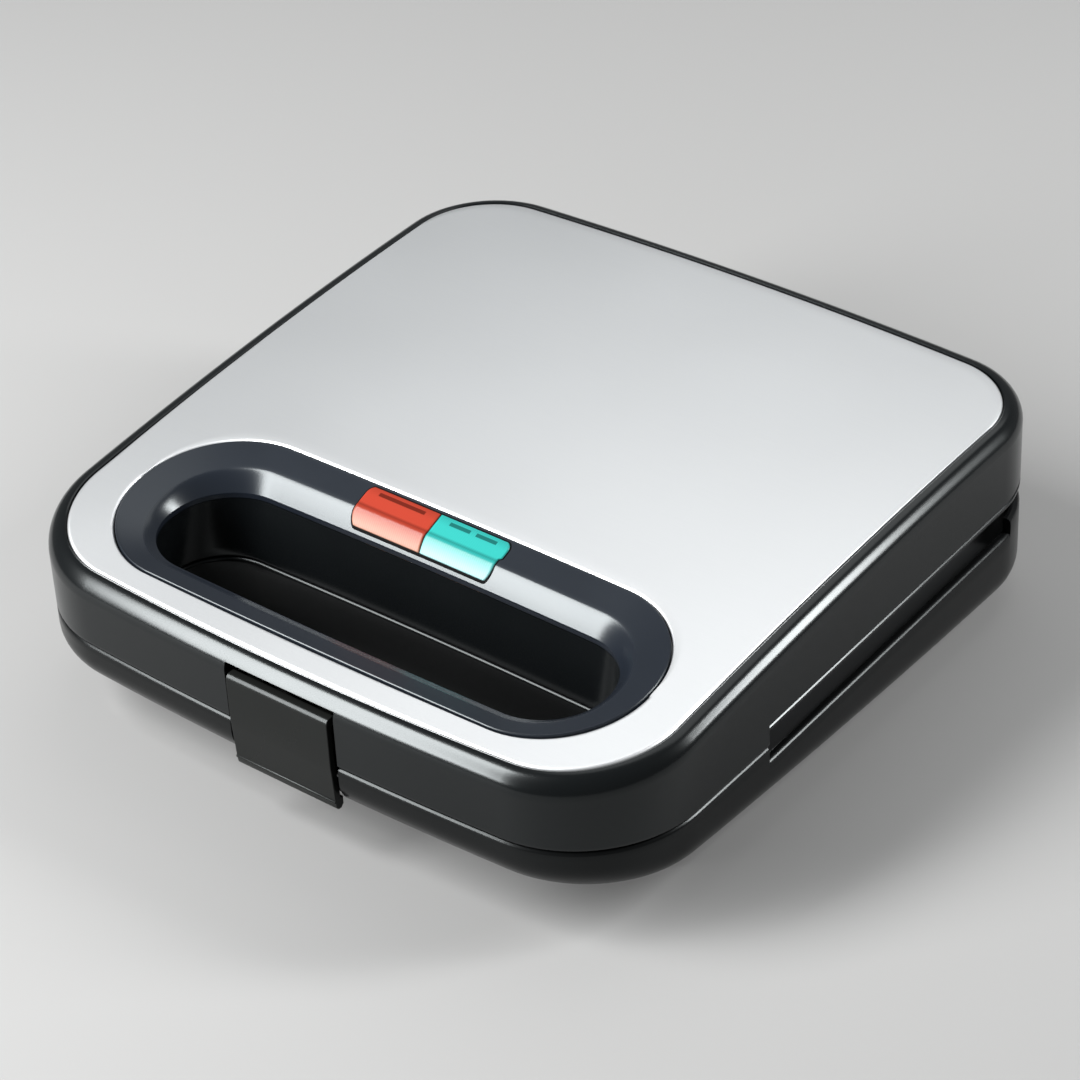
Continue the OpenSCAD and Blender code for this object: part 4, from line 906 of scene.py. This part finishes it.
def screw(name, place, seat, length):
    """Pan-head screw with its head down: rings about its line, the shank's radius following a helical
    saw-tooth of height and angle, the head a quarter ellipse with a cross cut into it."""
    angle = np.linspace(0, math.tau, 36, endpoint=False)
    z = np.linspace(0.0, length, int(length / ring_gap))[:, None]
    saw = np.abs(2 * np.mod(z / pitch - angle / math.tau, 1.0) - 1)
    shank = shank_r - thread_deep * saw * (z > plain_shank)
    shank = shank - tip_cut * np.clip((z - length + tip_length) / tip_length, 0, 1)
    swing = np.radians(np.linspace(0, 90, 9))
    head = np.concatenate((head_eye + head_swell * np.sin(swing), (head_r, head_r, head_foot_r)))
    head_z = np.concatenate((head_round * (1 - np.cos(swing)) - head_h, (head_side_z, head_foot_z, 0.0)))
    rings = np.concatenate((head[:, None] + 0 * angle, shank))
    high = seat + np.concatenate((head_z, z[:, 0]))[:, None] + 0 * angle
    made = piece(name, np.stack((*circle(place, rings, angle), high), -1), closed=False)
    x, y = place
    cut_out(made, [block("cross", (x - a, y - b, seat + cross_top), (x + a, y + b, seat + cross_floor))
                   for a, b in ((cross_arm, cross_half), (cross_half, cross_arm))])
    return made


for body, seat, length in screws:
    for k, place in enumerate(screw_places):
        made = screw(f"{body}_screw_{k + 1}", place, seat, length)
        dress(made, screw_steel, body, body + "_screws", "screw_steel")

# The turned pins, the heating elements and reflectors behind the cooking plates, and the electrical parts
# keep their exact shapes and get their materials here.


def finish(material, nodes):
    """Puts a material into the slots of the exact meshes."""
    for node in nodes:
        slots = frame["nodes"][node].data.materials
        slots.clear()
        slots.append(material)


finish(metal("turned_pin_steel", (0.52, 0.53, 0.54), (0.68, 0.69, 0.70), 0.16, 0.30, (4000.0, 300.0, 300.0)),
       ("hinge_pins", "latch_pin"))
finish(metal("element_sheath", (0.20, 0.18, 0.15), (0.36, 0.33, 0.28), 0.35, 0.60, (500.0,) * 3, 0.2),
       ("lower_heating_element", "upper_heating_element"))
finish(metal("aluminised_sheet", (0.66, 0.67, 0.68), (0.80, 0.81, 0.82), 0.20, 0.42, (120.0, 900.0, 120.0)),
       ("lower_reflector", "upper_reflector"))
for name, node, colour, roughness, grain in (
        ("thermostat_disc", "thermostat", (0.42, 0.34, 0.20), 0.38, 1400.0),
        ("fuse_sleeve", "thermal_fuse", (0.62, 0.58, 0.50), 0.66, 2200.0),
        ("terminal_plastic", "terminal_block", (0.70, 0.67, 0.58), 0.45, 1800.0),
        ("lamp_tray", "lamp_holder", (0.64, 0.61, 0.54), 0.40, 1500.0),
        ("neon_glass", "neon_lamps", (0.72, 0.40, 0.26), 0.12, 800.0),
        ("gland_rubber", "cord_gland", (0.008, 0.008, 0.008), 0.55, 2600.0)):
    finish(moulded(name, colour, roughness, 0.05, grain, 0.15), (node,))
